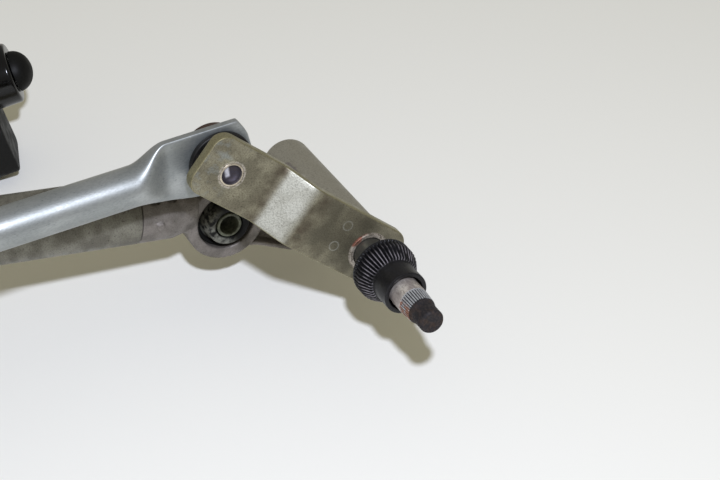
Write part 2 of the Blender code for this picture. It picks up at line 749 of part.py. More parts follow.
def web_outline(inset=0.0):
    """Outline of the web between the eye and the barrel, drawn for the right housing."""
    top = BARREL_RADIUS - inset
    foot = -WEB_FOOT_Y + inset
    points = [(EYE_X - 0.25 * EYE_HOLE, EYE_Y + EYE_HOLE + 0.5 * EYE_WALL - inset),
              (0.0, top), (0.6 * BARREL_RADIUS - inset, 0.0),
              (0.35 * BARREL_RADIUS - inset, foot),
              (WEB_FOOT_X, foot),
              (EYE_X - EYE_HOLE, EYE_Y - EYE_HOLE - 1.25 * EYE_WALL + inset),
              (EYE_X, EYE_Y - EYE_HOLE - 0.5 * EYE_WALL + inset)]
    return filleted(points, WEB_FILLET, 3, closed=True)


def make_shank(kit, side, axis, hand, housing):
    """Shank from the eye to the frame tube, its pockets, and the spigot in the tube."""
    slope = math.radians(TUBE_SLOPE)
    along = Vector((hand * math.cos(slope), math.sin(slope), 0.0))
    seam = Vector((hand * SEAM_X, SEAM_Y, level(FRAME_LEVEL)))
    spigot = TUBE_RADIUS - TUBE_WALL - CLEARANCE
    profile = [(0.0, SPIGOT_LENGTH), (spigot - SPIGOT_CHAMFER, SPIGOT_LENGTH),
               (spigot, SPIGOT_LENGTH - SPIGOT_CHAMFER), (spigot, 0.0), (SHANK_RADIUS, 0.0),
               (SHANK_RADIUS, -0.6 * SHANK_LENGTH),
               (0.8 * SHANK_RADIUS, -SHANK_LENGTH), (0.0, -SHANK_LENGTH)]
    shank = kit.guide(turned(kit, side + "_shank", profile, ROUND_STEPS, kit.cast, axis, seam))
    shank.rotation_euler = track(along)
    boolean(housing, shank, "UNION")
    lift = Vector((-along.y * hand, along.x * hand, 0.0))
    tilt = math.radians(POCKET_TILT)
    outward = lift * math.sin(tilt) + Vector((0.0, 0.0, math.cos(tilt)))
    cross = outward.cross(along)
    for index, (start, end) in enumerate(SHANK_POCKETS):
        centre = seam - along * (start + end) / 2 + outward * SHANK_RADIUS
        pocket = bpy.data.meshes.new(side + "_shank_pocket_" + str(index))
        work = bmesh.new()
        size = (end - start, POCKET_WIDTH, 2 * POCKET_DEPTH)
        bmesh.ops.create_cube(work, size=1.0, matrix=Matrix.Diagonal((*size, 1.0)))
        work.to_mesh(pocket)
        work.free()
        cutter = kit.guide(kit.place(pocket.name, pocket, kit.cast, axis, centre))
        turn = Matrix((along, cross, outward)).transposed()
        cutter.rotation_euler = turn.to_euler()
        boolean(housing, cutter, "DIFFERENCE")


def make_rubber_mount(kit, side, axis, hand):
    """Rubber grommet in the housing's eye and the steel spacer that it holds."""
    place = Vector((hand * EYE_X, EYE_Y, level(FRAME_LEVEL)))
    outer = EYE_HOLE - CLEARANCE
    bore = SPACER_RADIUS + CLEARANCE
    hub = bore + GROMMET_HUB_WALL
    top = EYE_THICKNESS / 2 + GROMMET_LIP
    rim = EYE_THICKNESS / 2 - 0.5 * GROMMET_LIP
    waist = rim - GROMMET_WAIST
    half = [(bore, top), (hub - GROMMET_EDGE, top), (hub, top - GROMMET_EDGE),
            (hub + GROMMET_EDGE, waist), (outer - GROMMET_EDGE, rim - GROMMET_EDGE),
            (outer, rim)]
    profile = half + [(radius, -z) for radius, z in reversed(half)]
    turned(kit, side + "_grommet", profile, SMALL_STEPS, kit.rubber, axis, place, ring=True)
    length = SPACER_LENGTH / 2
    turned(kit, side + "_grommet_spacer",
           ring_profile(SPACER_BORE, SPACER_RADIUS, length, -length), SMALL_STEPS,
           kit.steel, axis, place, ring=True)


def make_barrel_parts(kit, side, frame_axis, spindle_axis):
    """Bushes, thrust washer, rear washer and circlip of one pivot."""
    bushes = (("front_bush", BARREL_FRONT - CLEARANCE, FRONT_BUSH_LENGTH),
              ("rear_bush", REAR_BUSH_LEVEL, REAR_BUSH_LENGTH))
    for label, front, length in bushes:
        turned(kit, side + "_" + label,
               ring_profile(BUSH_BORE, BUSH_RADIUS, level(front), level(front - length)),
               SMALL_STEPS, kit.natural, frame_axis, ring=True)
    front = HUB_BACK - CLEARANCE
    turned(kit, side + "_thrust_washer",
           ring_profile(BUSH_BORE, BARREL_RADIUS - CLEARANCE, level(front),
                        level(front - THRUST_WASHER)),
           ROUND_STEPS, kit.natural, frame_axis, ring=True)
    turned(kit, side + "_rear_washer",
           ring_profile(BUSH_BORE, BUSH_RADIUS, level(REAR_WASHER_FRONT),
                        level(REAR_WASHER_FRONT - REAR_WASHER)),
           SMALL_STEPS, kit.zinc, spindle_axis, ring=True)
    inner = SPINDLE_RADIUS - CIRCLIP_DEPTH + CLEARANCE
    outer = BUSH_RADIUS - 2 * CLEARANCE
    gap = CIRCLIP_GAP_ANGLE / 2
    outline = arc_points((0.0, 0.0), outer, gap, 360.0 - gap, 13)
    outline += arc_points((0.0, 0.0), inner, 360.0 - gap, gap, 13)
    plate(kit, side + "_circlip", outline, CIRCLIP_THICKNESS, kit.steel, spindle_axis,
          Vector((0.0, 0.0, level(CIRCLIP_FRONT - CIRCLIP_THICKNESS / 2))))


def tube_route():
    """Middle line of the frame tube in the face frame, from the right seam to the left."""
    cut = CLEARANCE * math.cos(math.radians(TUBE_SLOPE))
    corners = [(-SEAM_X - cut, SEAM_Y), (-TUBE_BEND_X, TUBE_HIGH),
               (-PIVOT_SPACING + TUBE_BEND_X, TUBE_HIGH),
               (-PIVOT_SPACING + SEAM_X + cut, SEAM_Y)]
    return filleted(corners, TUBE_BEND_RADIUS, 3)


def make_frame_tube(kit, parent):
    """Bent frame tube, open at both ends."""
    curve = bpy.data.curves.new("frame_tube", "CURVE")
    curve.dimensions = "3D"
    curve.bevel_depth = TUBE_RADIUS
    curve.bevel_resolution = TUBE_RESOLUTION
    curve.use_fill_caps = False
    spline = curve.splines.new("POLY")
    route = tube_route()
    spline.points.add(len(route) - 1)
    for point, (x, y) in zip(spline.points, route):
        point.co = (x, y, level(FRAME_LEVEL), 1.0)
    guide = bpy.data.objects.new("frame_tube_route", curve)
    kit.guides.objects.link(guide)
    tube = kit.place("frame_tube", mesh_of(guide, "frame_tube"), kit.cast, parent)
    wall = tube.modifiers.new("Wall", "SOLIDIFY")
    wall.thickness = TUBE_WALL
    wall.offset = -1.0
    return tube


def make_rods(kit):
    """Tie rod between the two levers, and drive rod from the left lever to the crank."""
    near = kit.empty("tie_rod_axis", STUD_AT_REST, kit.root)
    make_rod(kit, "tie_rod", near, LEFT_AXIS, REAR_BALL)
    far = kit.empty("tie_rod_far_end", LEFT_AXIS, near)
    make_cup(kit, "tie_rod_right_cup", near, REAR_BALL, 1)
    make_cup(kit, "tie_rod_left_cup", far, REAR_BALL, 1)
    start = LEFT_AXIS + STUD_AT_REST
    near = kit.empty("drive_rod_axis", start, kit.root)
    make_rod(kit, "drive_rod", near, CRANK_PIN - start, FRONT_BALL)
    far = kit.empty("drive_rod_far_end", CRANK_PIN - start, near)
    make_cup(kit, "drive_rod_lever_cup", near, FRONT_BALL, -1)
    make_cup(kit, "drive_rod_crank_cup", far, FRONT_BALL, -1)


def make_crank(kit):
    """Motor crank arm with its hub for the motor shaft, and its ball stud."""
    axis = kit.empty("crank_pin_axis", CRANK_PIN, kit.root)
    front = level(STUD_FACE)
    tilt = math.degrees(math.asin((CRANK_HUB_RADIUS - CRANK_EYE_RADIUS) / CRANK_RADIUS))
    outline = arc_points((0.0, 0.0), CRANK_EYE_RADIUS, 90 + tilt, 270 - tilt, 11)
    outline += arc_points((CRANK_RADIUS, 0.0), CRANK_HUB_RADIUS, -90 - tilt, 90 + tilt, 15)
    arm = plate(kit, "crank_arm", outline, CRANK_THICKNESS, kit.steel, axis,
                Vector((0.0, 0.0, front - CRANK_THICKNESS / 2)))
    hub = Vector((CRANK_RADIUS, 0.0, 0.0))
    boss = kit.guide(turned(kit, "crank_hub", [
        (0.0, front + CRANK_HUB_RISE), (0.8 * CRANK_HUB_RADIUS, front + CRANK_HUB_RISE),
        (0.9 * CRANK_HUB_RADIUS, front - CRANK_THICKNESS / 2),
        (0.0, front - CRANK_THICKNESS / 2)], ROUND_STEPS, kit.steel, axis, hub))
    boolean(arm, boss, "UNION")
    top = front + 2 * CRANK_HUB_RISE
    bottom = front - 2 * CRANK_THICKNESS
    cut_round(kit, arm, "crank_bore", CRANK_BORE, top, bottom, axis, hub)
    cut_round(kit, arm, "crank_stud_hole", STUD_SHANK + CLEARANCE, top, bottom, axis)
    make_ball_stud(kit, "crank_ball_stud", axis, STUD_FACE, STUD_FACE - CRANK_THICKNESS,
                   None, FRONT_BALL)


def bracket_outline():
    """Front outline of the motor bracket: saddle below, shoulders and a top ear above."""
    bottom = TUBE_HIGH - TUBE_RADIUS - SADDLE_LIP
    middle = TUBE_HIGH + TUBE_RADIUS + SADDLE_LIP
    low_ear = CRANK_Y - 0.5 * MOTOR_PITCH
    top = CRANK_Y + MOTOR_PITCH + MOTOR_EAR
    half = [(BRACKET_LEG, bottom), (BRACKET_LEG, middle), (BRACKET_SHOULDER, low_ear),
            (MOTOR_EAR, top)]
    points = [(CRANK_X + x, y) for x, y in half]
    points += [(CRANK_X - x, y) for x, y in reversed(half)]
    return filleted(points, BRACKET_CORNER, 3, closed=True)


def make_bracket(kit):
    """Cast motor bracket: plate with motor holes, tube saddle, rear arm and end plate."""
    root = kit.root
    front = level(BRACKET_LEVEL)
    bracket = plate(kit, "motor_bracket", bracket_outline(), BRACKET_THICKNESS, kit.cast,
                    root, Vector((0.0, 0.0, front - BRACKET_THICKNESS / 2)))
    tube_z = level(FRAME_LEVEL)
    saddle_top = front - 0.5 * BRACKET_THICKNESS
    half_height = TUBE_RADIUS + CLEARANCE + SADDLE_LIP
    block = rounded_box_outline(CRANK_X - BRACKET_LEG + SADDLE_INSET,
                                CRANK_X + BRACKET_LEG - SADDLE_INSET,
                                half_height - SADDLE_RELIEF, SADDLE_INSET)
    saddle = kit.guide(plate(kit, "saddle", block, saddle_top - tube_z, kit.cast, root,
                             Vector((0.0, TUBE_HIGH, (saddle_top + tube_z) / 2))))
    boolean(bracket, saddle, "UNION")
    collar_z = front - BRACKET_THICKNESS
    motor = Vector((CRANK_X, CRANK_Y, 0.0))
    collar = kit.guide(turned(kit, "motor_collar", cylinder_profile(
        MOTOR_HOLE + MOTOR_COLLAR_WALL, front - 0.5 * BRACKET_THICKNESS,
        collar_z - MOTOR_COLLAR_HEIGHT), FINE_STEPS, kit.cast, root, motor))
    boolean(bracket, collar, "UNION")
    screw_places = [motor + polar(MOTOR_PITCH, angle) for angle in (90.0, 210.0, 330.0)]
    for index, place in enumerate(screw_places):
        pad = kit.guide(turned(kit, "motor_pad_" + str(index), cylinder_profile(
            MOTOR_PAD_RADIUS, front - 0.5 * BRACKET_THICKNESS, collar_z - MOTOR_PAD_HEIGHT),
            SMALL_STEPS, kit.cast, root, place))
        boolean(bracket, pad, "UNION")
    arm = kit.guide(plate(kit, "bracket_arm", arm_outline(), ARM_HEIGHT, kit.cast, root,
                          Vector((0.0, CRANK_Y - ARM_DROP, 0.0))))
    arm.rotation_euler = (math.radians(90), 0.0, 0.0)
    boolean(bracket, arm, "UNION")
    make_buffer(kit, bracket)
    trough = kit.guide(turned(kit, "saddle_trough", cylinder_profile(
        TUBE_RADIUS + CLEARANCE, 2 * BRACKET_LEG, -2 * BRACKET_LEG), FINE_STEPS, kit.cast,
        root, Vector((CRANK_X, TUBE_HIGH, tube_z))))
    trough.rotation_euler = (0.0, math.radians(90), 0.0)
    boolean(bracket, trough, "DIFFERENCE")
    cut_round(kit, bracket, "motor_hole", MOTOR_HOLE, 0.0, 2 * tube_z, root, motor,
              FINE_STEPS)
    for index, place in enumerate(screw_places):
        cut_round(kit, bracket, "motor_screw_hole_" + str(index), MOTOR_SCREW_HOLE, 0.0,
                  2 * tube_z, root, place, SMALL_STEPS)
    return bracket


def arm_outline():
    """Plan outline of the bracket's arm, drawn with its y as the face frame's z."""
    route = [(CRANK_X + ARM_START, level(BRACKET_LEVEL) - BRACKET_THICKNESS / 2)]
    route += [(BUFFER_X + x, level(height)) for x, height in ARM_STEPS]
    return strip_outline(filleted(route, ARM_BEND_RADIUS, 4), ARM_THICKNESS)


def make_buffer(kit, bracket):
    """End plate and pin of the arm, the rubber buffer, its cap and the foot."""
    axis = Vector(BUFFER_AXIS).normalized()
    up = (Vector((0.0, 1.0, 0.0)) - axis * axis.y).normalized()
    turn = Matrix((up.cross(axis), up, axis)).transposed()
    carrier = kit.empty("buffer_axis", Vector((BUFFER_X, BUFFER_Y, level(BUFFER_LEVEL))),
                        kit.root)
    carrier.rotation_euler = turn.to_euler()
    half = END_PLATE_HALF_WIDTH
    shape = filleted([(-half, END_PLATE_BOTTOM), (half, END_PLATE_BOTTOM),
                      (half, END_PLATE_TOP), (-half, END_PLATE_TOP)], END_PLATE_CORNER, 3,
                     closed=True)
    end = kit.guide(plate(kit, "end_plate", shape, END_PLATE, kit.cast, carrier,
                          Vector((0.0, 0.0, -END_PLATE / 2))))
    boolean(bracket, end, "UNION")
    pin_end = 0.8 * BUFFER_LENGTH
    pin = kit.guide(turned(kit, "buffer_pin", cylinder_profile(
        PIN_RADIUS, pin_end, -END_PLATE / 2), SMALL_STEPS, kit.cast, carrier))
    boolean(bracket, pin, "UNION")
    bore = PIN_RADIUS + CLEARANCE
    base = CLEARANCE
    top = base + BUFFER_LENGTH
    turned(kit, "rear_buffer", [
        (bore, top), (BUFFER_RADIUS - BUFFER_EDGE, top), (BUFFER_RADIUS, top - BUFFER_EDGE),
        (BUFFER_RADIUS, base), (bore, base)], ROUND_STEPS, kit.rubber, carrier, ring=True)
    seat = top + CLEARANCE
    dome = [(CAP_RADIUS * math.cos(math.radians(a)),
             seat + CAP_HEIGHT * math.sin(math.radians(a))) for a in (72, 54, 36, 18, 0)]
    turned(kit, "buffer_cap", [(0.0, seat + CAP_HEIGHT)] + dome
           + [(CAP_STEM, seat), (CAP_STEM, pin_end + CLEARANCE), (0.0, pin_end + CLEARANCE)],
           SMALL_STEPS, kit.rubber, carrier)
    make_foot(kit, carrier)


def make_foot(kit, carrier):
    """Rubber shoe pushed onto the lower end of the end plate."""
    outline = filleted([(-FOOT_HALF_WIDTH, FOOT_BOTTOM), (FOOT_HALF_WIDTH, FOOT_BOTTOM),
                        (FOOT_HALF_WIDTH, FOOT_TOP), (-FOOT_HALF_WIDTH, FOOT_TOP)],
                       FOOT_CORNER, 3, closed=True)
    middle = Vector((0.0, 0.0, -END_PLATE / 2))
    foot = plate(kit, "rear_foot", outline, END_PLATE + 2 * FOOT_WALL, kit.rubber, carrier,
                 middle)
    half = END_PLATE_HALF_WIDTH + CLEARANCE
    bottom = END_PLATE_BOTTOM - CLEARANCE
    top = 2 * FOOT_TOP - bottom
    slot = kit.guide(plate(kit, "foot_slot", [
        (-half, bottom), (half, bottom), (half, top), (-half, top)],
        END_PLATE + 2 * CLEARANCE, kit.rubber, carrier, middle))
    boolean(foot, slot, "DIFFERENCE")


def make_clamp_screws(kit, tube, bracket):
    """Two screws that hold the bracket's saddle to the tube, and their holes."""
    head_top = level(FRAME_LEVEL) - TUBE_RADIUS - CLEARANCE
    screw_end = level(BRACKET_LEVEL) + CLAMP_SCREW_END
    hole = CLAMP_SCREW_RADIUS + CLEARANCE
    for label, offset in (("left", -0.5), ("right", 0.5)):
        place = Vector((CRANK_X + offset * CLAMP_SCREW_PITCH, TUBE_HIGH, 0.0))
        name = label + "_clamp_screw"
        screw = turned(kit, name, cylinder_profile(
            CLAMP_SCREW_RADIUS, screw_end, head_top - CLAMP_HEAD / 2), SMALL_STEPS, kit.zinc,
            kit.root, place)
        head = kit.guide(turned(kit, name + "_head", cylinder_profile(
            CLAMP_HEAD_RADIUS, head_top, head_top - CLAMP_HEAD), 6, kit.zinc, kit.root,
            place))
        boolean(screw, head, "UNION")
        for piece in (tube, bracket):
            cut_round(kit, piece, name + "_hole_" + piece.name, hole,
                      screw_end + 2 * CLAMP_HEAD, head_top - 2 * CLAMP_HEAD, kit.root, place,
                      SMALL_STEPS)


def main():
    """Build the linkage."""
    clear_scene()
    kit = Kit()
    tube = make_frame_tube(kit, kit.root)
    pivots = (("right", ORIGIN, -1), ("left", LEFT_AXIS, 1))
    for side, place, hand in pivots:
        fixed = kit.empty(side + "_pivot", place, kit.root)
        turning = kit.empty(side + "_spindle_axis", place, kit.root)
        turning.rotation_euler = (0.0, 0.0, math.radians(LEVER_REST_ANGLE))
        stud = kit.empty(side + "_stud_axis", Vector((LEVER_LENGTH, 0.0, 0.0)), turning)
        make_housing(kit, side, fixed, hand)
        make_rubber_mount(kit, side, fixed, hand)
        make_barrel_parts(kit, side, fixed, turning)
        make_spindle(kit, side, turning)
        make_collar(kit, side, turning)
        make_lever(kit, side, turning)
        front = FRONT_BALL if side == "left" else None
        make_ball_stud(kit, side + "_ball_stud", stud, STUD_FACE, STUD_BACK,
                       REAR_BALL, front)
    make_rods(kit)
    make_crank(kit)
    bracket = make_bracket(kit)
    make_clamp_screws(kit, tube, bracket)


main()
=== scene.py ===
"""Looks of the wiper linkage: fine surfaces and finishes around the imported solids.

Shapes are drawn in millimetres in a face frame: x along the line through both spindles,
y up the levers, z out along the spindles, with the right spindle's tip at the origin.
One matrix per group of pieces takes them to the row frame, in metres.
"""

import json
import logging
import math
from collections.abc import Callable
from dataclasses import dataclass
from enum import Enum

import bmesh
import bpy
import numpy as np
from mathutils import Matrix, Vector

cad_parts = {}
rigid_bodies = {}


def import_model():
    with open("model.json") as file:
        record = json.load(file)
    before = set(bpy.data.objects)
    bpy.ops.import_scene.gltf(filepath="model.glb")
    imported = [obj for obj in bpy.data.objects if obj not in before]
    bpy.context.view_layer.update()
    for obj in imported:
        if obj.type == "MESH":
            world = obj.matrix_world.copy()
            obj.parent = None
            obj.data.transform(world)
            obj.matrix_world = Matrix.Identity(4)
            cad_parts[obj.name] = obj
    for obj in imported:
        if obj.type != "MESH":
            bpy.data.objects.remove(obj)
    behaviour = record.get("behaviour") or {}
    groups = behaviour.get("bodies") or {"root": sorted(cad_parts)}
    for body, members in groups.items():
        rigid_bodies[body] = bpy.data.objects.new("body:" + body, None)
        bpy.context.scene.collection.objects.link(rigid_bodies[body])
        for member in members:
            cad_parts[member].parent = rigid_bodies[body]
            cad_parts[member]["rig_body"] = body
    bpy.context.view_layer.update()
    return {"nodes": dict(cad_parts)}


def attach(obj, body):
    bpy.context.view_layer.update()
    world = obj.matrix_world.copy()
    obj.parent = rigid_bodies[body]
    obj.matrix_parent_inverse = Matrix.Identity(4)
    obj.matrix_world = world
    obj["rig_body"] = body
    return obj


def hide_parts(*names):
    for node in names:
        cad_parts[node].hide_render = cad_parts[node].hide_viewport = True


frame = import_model()

LOG = logging.getLogger("wiper_linkage")
MM = 0.001
PLACE = "place"
MIX_FIRST = 6
MIX_SECOND = 7
MIX_RESULT = 2

# Sizes that several sub-assemblies share, in mm and degrees of the face frame. Heights
# named FACE and BALL are measured from the front face of the lever's hub.
PROJECTION = 45.0
PITCH = 420.0
LEVER_REST = 135.0
LEVER_LENGTH = 55.0
STUD_X = LEVER_LENGTH * math.cos(math.radians(LEVER_REST))
STUD_Y = LEVER_LENGTH * math.sin(math.radians(LEVER_REST))
PLANE = -91.0
CLEARANCE = 0.3
REAR_BALL = -19.5
FRONT_BALL = 4.0
PLATE_FACE = -8.0
EYE_X = 33.0
EYE_Y = 2.0
SEAM_X = 62.1
SEAM_Y = 13.4
TUBE_SLOPE = 11.0
TUBE_BEND = 150.0
TUBE_RADIUS = 11.0
TUBE_HIGH = SEAM_Y + math.tan(math.radians(TUBE_SLOPE)) * (TUBE_BEND - SEAM_X)
CRANK_X = -220.0
CRANK_Y = 76.0
BUFFER_POINT = (-88.0, 27.5, -177.4)
BUFFER_AXIS = (0.952, 0.184, 0.245)


class Slot(Enum):
    """Material slots of the record, handed to each piece alongside its finish."""

    CAST = "cast"
    ZINC = "zinc"
    PASSIVATED = "passivated"
    STEEL = "steel"
    PLASTIC = "black_plastic"
    NATURAL = "natural_plastic"
    RUBBER = "rubber"


class Side(Enum):
    """The two pivots: the name, the spindle's x in mm and the way the frame tube leaves."""

    RIGHT = ("right", 0.0, -1.0)
    LEFT = ("left", -PITCH, 1.0)

    @property
    def label(self) -> str:
        """Name of the side, as in the node names."""
        return self.value[0]

    @property
    def axis_x(self) -> float:
        """Place of the spindle along x, in mm."""
        return self.value[1]

    @property
    def hand(self) -> float:
        """-1 where the tube leaves towards -x and 1 where it leaves towards +x."""
        return self.value[2]


def level(height: float) -> float:
    """Face-frame z of a height above the front face of the lever's hub, in mm."""
    return height - PROJECTION


@dataclass(frozen=True)
class Place:
    """Local frame of a group of pieces: a point of the face frame and a turn about z."""

    x: float = 0.0
    y: float = 0.0
    z: float = 0.0
    turn: float = 0.0
    mirror: bool = False
    axis: tuple | None = None

    def matrix(self) -> Matrix:
        """Matrix from local millimetres to the row frame in metres.

        Returns:
            The scale to metres, the face frame's quarter turn about X, the move to the
            point, the turn of z to the axis if one is given, the turn about the local z
            axis and the mirror across x.
        """
        upright = Matrix.Rotation(math.radians(90.0), 4, "X")
        move = Matrix.Translation((self.x, self.y, self.z))
        turn = Matrix.Rotation(math.radians(self.turn), 4, "Z")
        flip = Matrix.Diagonal((-1.0 if self.mirror else 1.0, 1.0, 1.0, 1.0))
        lean = towards(self.axis) if self.axis is not None else Matrix.Identity(4)
        return Matrix.Scale(MM, 4) @ upright @ move @ lean @ turn @ flip


def towards(axis: tuple, point: tuple = (0.0, 0.0, 0.0)) -> Matrix:
    """Matrix that takes z to an axis, with y kept as near the face frame's y as it can be.

    Args:
        axis: Direction of the new z.
        point: Where the origin goes.

    Returns:
        The move to the point after the turn whose columns are y x axis, y and axis.
    """
    along = Vector(axis).normalized()
    up = Vector((0.0, 1.0, 0.0))
    up = (up - along * along.dot(up)).normalized()
    turn = Matrix((up.cross(along), up, along)).transposed().to_4x4()
    return Matrix.Translation(point) @ turn


def ease(value: np.ndarray) -> np.ndarray:
    """Smooth step from 0 to 1 for values that run from 0 to 1."""
    share = np.clip(value, 0.0, 1.0)
    return share * share * (3.0 - 2.0 * share)


def rounded(points: list, radius: float, steps: int = 4, closed: bool = False) -> np.ndarray:
    """Polyline with its corners turned to arcs.

    Args:
        points: Corners as (a, b) pairs.
        radius: Radius of the arcs; an arc takes at most 48% of the shorter side.
        steps: Segments of each arc.
        closed: True where the last corner joins the first.

    Returns:
        The points in order. An arc's point is its centre plus the start and end arms
        weighed by sin((1 - t) turn) / sin(turn) and sin(t turn) / sin(turn).
    """
    corners = np.array(points, float)
    share = np.linspace(0.0, 1.0, steps + 1)[:, None]
    parts = []
    for index, corner in enumerate(corners):
        if not closed and index in (0, len(corners) - 1):
            parts.append(corner[None, :])
            continue
        back = corners[index - 1] - corner
        ahead = corners[(index + 1) % len(corners)] - corner
        limit = 0.48 * min(np.linalg.norm(back), np.linalg.norm(ahead))
        back /= np.linalg.norm(back)
        ahead /= np.linalg.norm(ahead)
        half = math.acos(float(np.clip(back @ ahead, -1.0, 1.0))) / 2
        reach = min(radius / math.tan(half), limit)
        middle = back + ahead
        middle *= reach / math.cos(half) / np.linalg.norm(middle)
        turn = math.pi - 2 * half
        arms = (np.sin((1 - share) * turn) * (back * reach - middle)
                + np.sin(share * turn) * (ahead * reach - middle)) / math.sin(turn)
        parts.append(corner + middle + arms)
    return np.vstack(parts)


def resampled(points: np.ndarray, count: int) -> np.ndarray:
    """Points at even steps along a polyline, read from its running length."""
    steps = np.linalg.norm(np.diff(points, axis=0), axis=1)
    run = np.concatenate([[0.0], np.cumsum(steps)])
    wanted = np.linspace(0.0, run[-1], count)
    return np.stack([np.interp(wanted, run, column) for column in points.T], axis=1)


def sideways(path: np.ndarray) -> np.ndarray:
    """Unit normal to the left of a plane path at each of its points."""
    step = np.gradient(path, axis=0)
    step /= np.linalg.norm(step, axis=1)[:, None]
    return np.stack([-step[:, 1], step[:, 0]], axis=1)


def box_outline(half: float, low: float, high: float, middle: float = 0.0) -> list:
    """Corners of a box outline, counterclockwise from the lower left."""
    return [(middle - half, low), (middle + half, low), (middle + half, high),
            (middle - half, high)]


class Skin:
    """Vertices and faces of one mesh, gathered from grids."""

    def __init__(self) -> None:
        """Start with nothing."""
        self.points: list[np.ndarray] = []
        self.faces: list[list[int]] = []
        self.count = 0

    def grid(self, points: np.ndarray, wrap_rows: bool = False,
             wrap_columns: bool = False) -> np.ndarray:
        """Add a grid of quads.

        Args:
            points: Array of rows x columns x 3.
            wrap_rows: True joins the last row to the first.
            wrap_columns: True joins the last column to the first.

        Returns:
            The vertex numbers as a rows x columns array.
        """
        rows, columns = points.shape[:2]
        numbers = np.arange(rows * columns).reshape(rows, columns) + self.count
        self.points.append(points.reshape(-1, 3))
        self.count += rows * columns
        mesh = numbers
        if wrap_rows:
            mesh = np.vstack([mesh, mesh[:1]])
        if wrap_columns:
            mesh = np.hstack([mesh, mesh[:, :1]])
        quads = np.stack([mesh[:-1, :-1], mesh[:-1, 1:], mesh[1:, 1:], mesh[1:, :-1]], -1)
        self.faces += quads.reshape(-1, 4).tolist()
        return numbers

    def pole(self, ring: np.ndarray, point: np.ndarray) -> None:
        """Close a ring of vertex numbers with a fan to one point."""
        self.points.append(np.asarray(point, float).reshape(1, 3))
        tip = self.count
        self.count += 1
        around = np.roll(ring, -1)
        tips = np.full_like(ring, tip)
        self.faces += np.stack([ring, around, tips], -1).tolist()

    def zip_up(self, ring: np.ndarray) -> None:
        """Close a flat ring whose point k lies over point -k with a strip across it."""
        half = len(ring) // 2
        upper = ring[:half + 1]
        lower = np.concatenate([ring[:1], ring[::-1][:half]])
        self.faces += np.stack([upper[1:-2], upper[2:-1], lower[2:-1], lower[1:-2]],
                               -1).tolist()
        self.faces.append([ring[0], ring[1], ring[-1]])
        self.faces.append([ring[half - 1], ring[half], ring[half + 1]])

    def cap(self, ring: np.ndarray) -> None:
        """Close a flat ring with one face."""
        self.faces.append(ring.tolist())

    def mesh(self, name: str) -> bpy.types.Mesh:
        """Mesh of all that was added, with doubles merged and faces turned outwards."""
        mesh = bpy.data.meshes.new(name)
        mesh.from_pydata(np.vstack(self.points).tolist(), [], self.faces)
        work = bmesh.new()
        work.from_mesh(mesh)
        bmesh.ops.remove_doubles(work, verts=work.verts, dist=0.0005)
        bmesh.ops.dissolve_degenerate(work, edges=work.edges, dist=0.0005)
        bmesh.ops.recalc_face_normals(work, faces=work.faces)
        work.to_mesh(mesh)
        work.free()
        return mesh


def turned(name: str, profile: np.ndarray, around: int = 96, ring: bool = False,
           centre: tuple = (0.0, 0.0), shape: Callable | None = None) -> bpy.types.Mesh:
    """Surface of revolution about the local z axis.

    Args:
        name: Name of the mesh.
        profile: Points (radius, z) in order.
        around: Steps round the axis.
        ring: True where the profile closes on itself; otherwise its ends are closed with
            a fan to the axis.
        centre: Place of the axis in x and y.
        shape: Function of (angle, radius, z) that returns a changed radius, all arrays.

    Returns:
        The mesh. A point is (radius cos a, radius sin a, z) for the angle a.
    """
    angle = np.linspace(0.0, 2 * np.pi, around, endpoint=False)[None, :]
    radius = np.repeat(profile[:, :1], around, axis=1)
    z = np.repeat(profile[:, 1:], around, axis=1)
    if shape is not None:
        radius = shape(angle, radius, z)
    points = np.stack([centre[0] + radius * np.cos(angle), centre[1] + radius * np.sin(angle),
                       z], axis=2)
    skin = Skin()
    numbers = skin.grid(points, wrap_rows=ring, wrap_columns=True)
    if not ring:
        skin.pole(numbers[0], (*centre, profile[0, 1]))
        skin.pole(numbers[-1], (*centre, profile[-1, 1]))
    return skin.mesh(name)


def plate(name: str, outline: np.ndarray, low: float, high: float,
          edge: float = 0.0, steps: int = 3) -> bpy.types.Mesh:
    """Flat plate between two heights with rounded edges.

    Args:
        name: Name of the mesh.
        outline: Closed outline, points (x, y) in counterclockwise order.
        low: Height of the back face.
        high: Height of the front face.
        edge: Radius of the edges.
        steps: Segments of an edge's quarter round.

    Returns:
        The mesh: rings of the outline, moved inwards by edge (1 - sin t) at the height
        edge (1 - cos t) from a face, and a face at each end.
    """
    ahead = np.roll(outline, -1, axis=0) - outline
    ahead /= np.linalg.norm(ahead, axis=1)[:, None]
    mean = ahead + np.roll(ahead, 1, axis=0)
    mean /= np.linalg.norm(mean, axis=1)[:, None]
    inwards = np.stack([-mean[:, 1], mean[:, 0]], axis=1)
    turn = np.linspace(0.0, np.pi / 2, steps + 1) if edge > 0.0 else np.array([np.pi / 2])
    inset = edge * (1.0 - np.sin(turn))
    rise = edge * (1.0 - np.cos(turn))
    insets = np.concatenate([inset, inset[::-1]])
    heights = np.concatenate([low + rise, high - rise[::-1]])
    flat = outline[None] + inwards[None] * insets[:, None, None]
    tall = np.broadcast_to(heights[:, None, None], (len(heights), len(outline), 1))
    skin = Skin()
    numbers = skin.grid(np.concatenate([flat, tall], axis=2), wrap_columns=True)
    skin.cap(numbers[0])
    skin.cap(numbers[-1])
    return skin.mesh(name)


def block(name: str, size: tuple) -> bpy.types.Mesh:
    """Box of a length, width and height about the origin, for cutting."""
    length, width, height = (value / 2 for value in size)
    return plate(name, np.array(box_outline(length, -width, width)), -height, height)


def moved(mesh: bpy.types.Mesh, matrix: Matrix) -> bpy.types.Mesh:
    """The same mesh after a matrix."""
    mesh.transform(matrix)
    return mesh


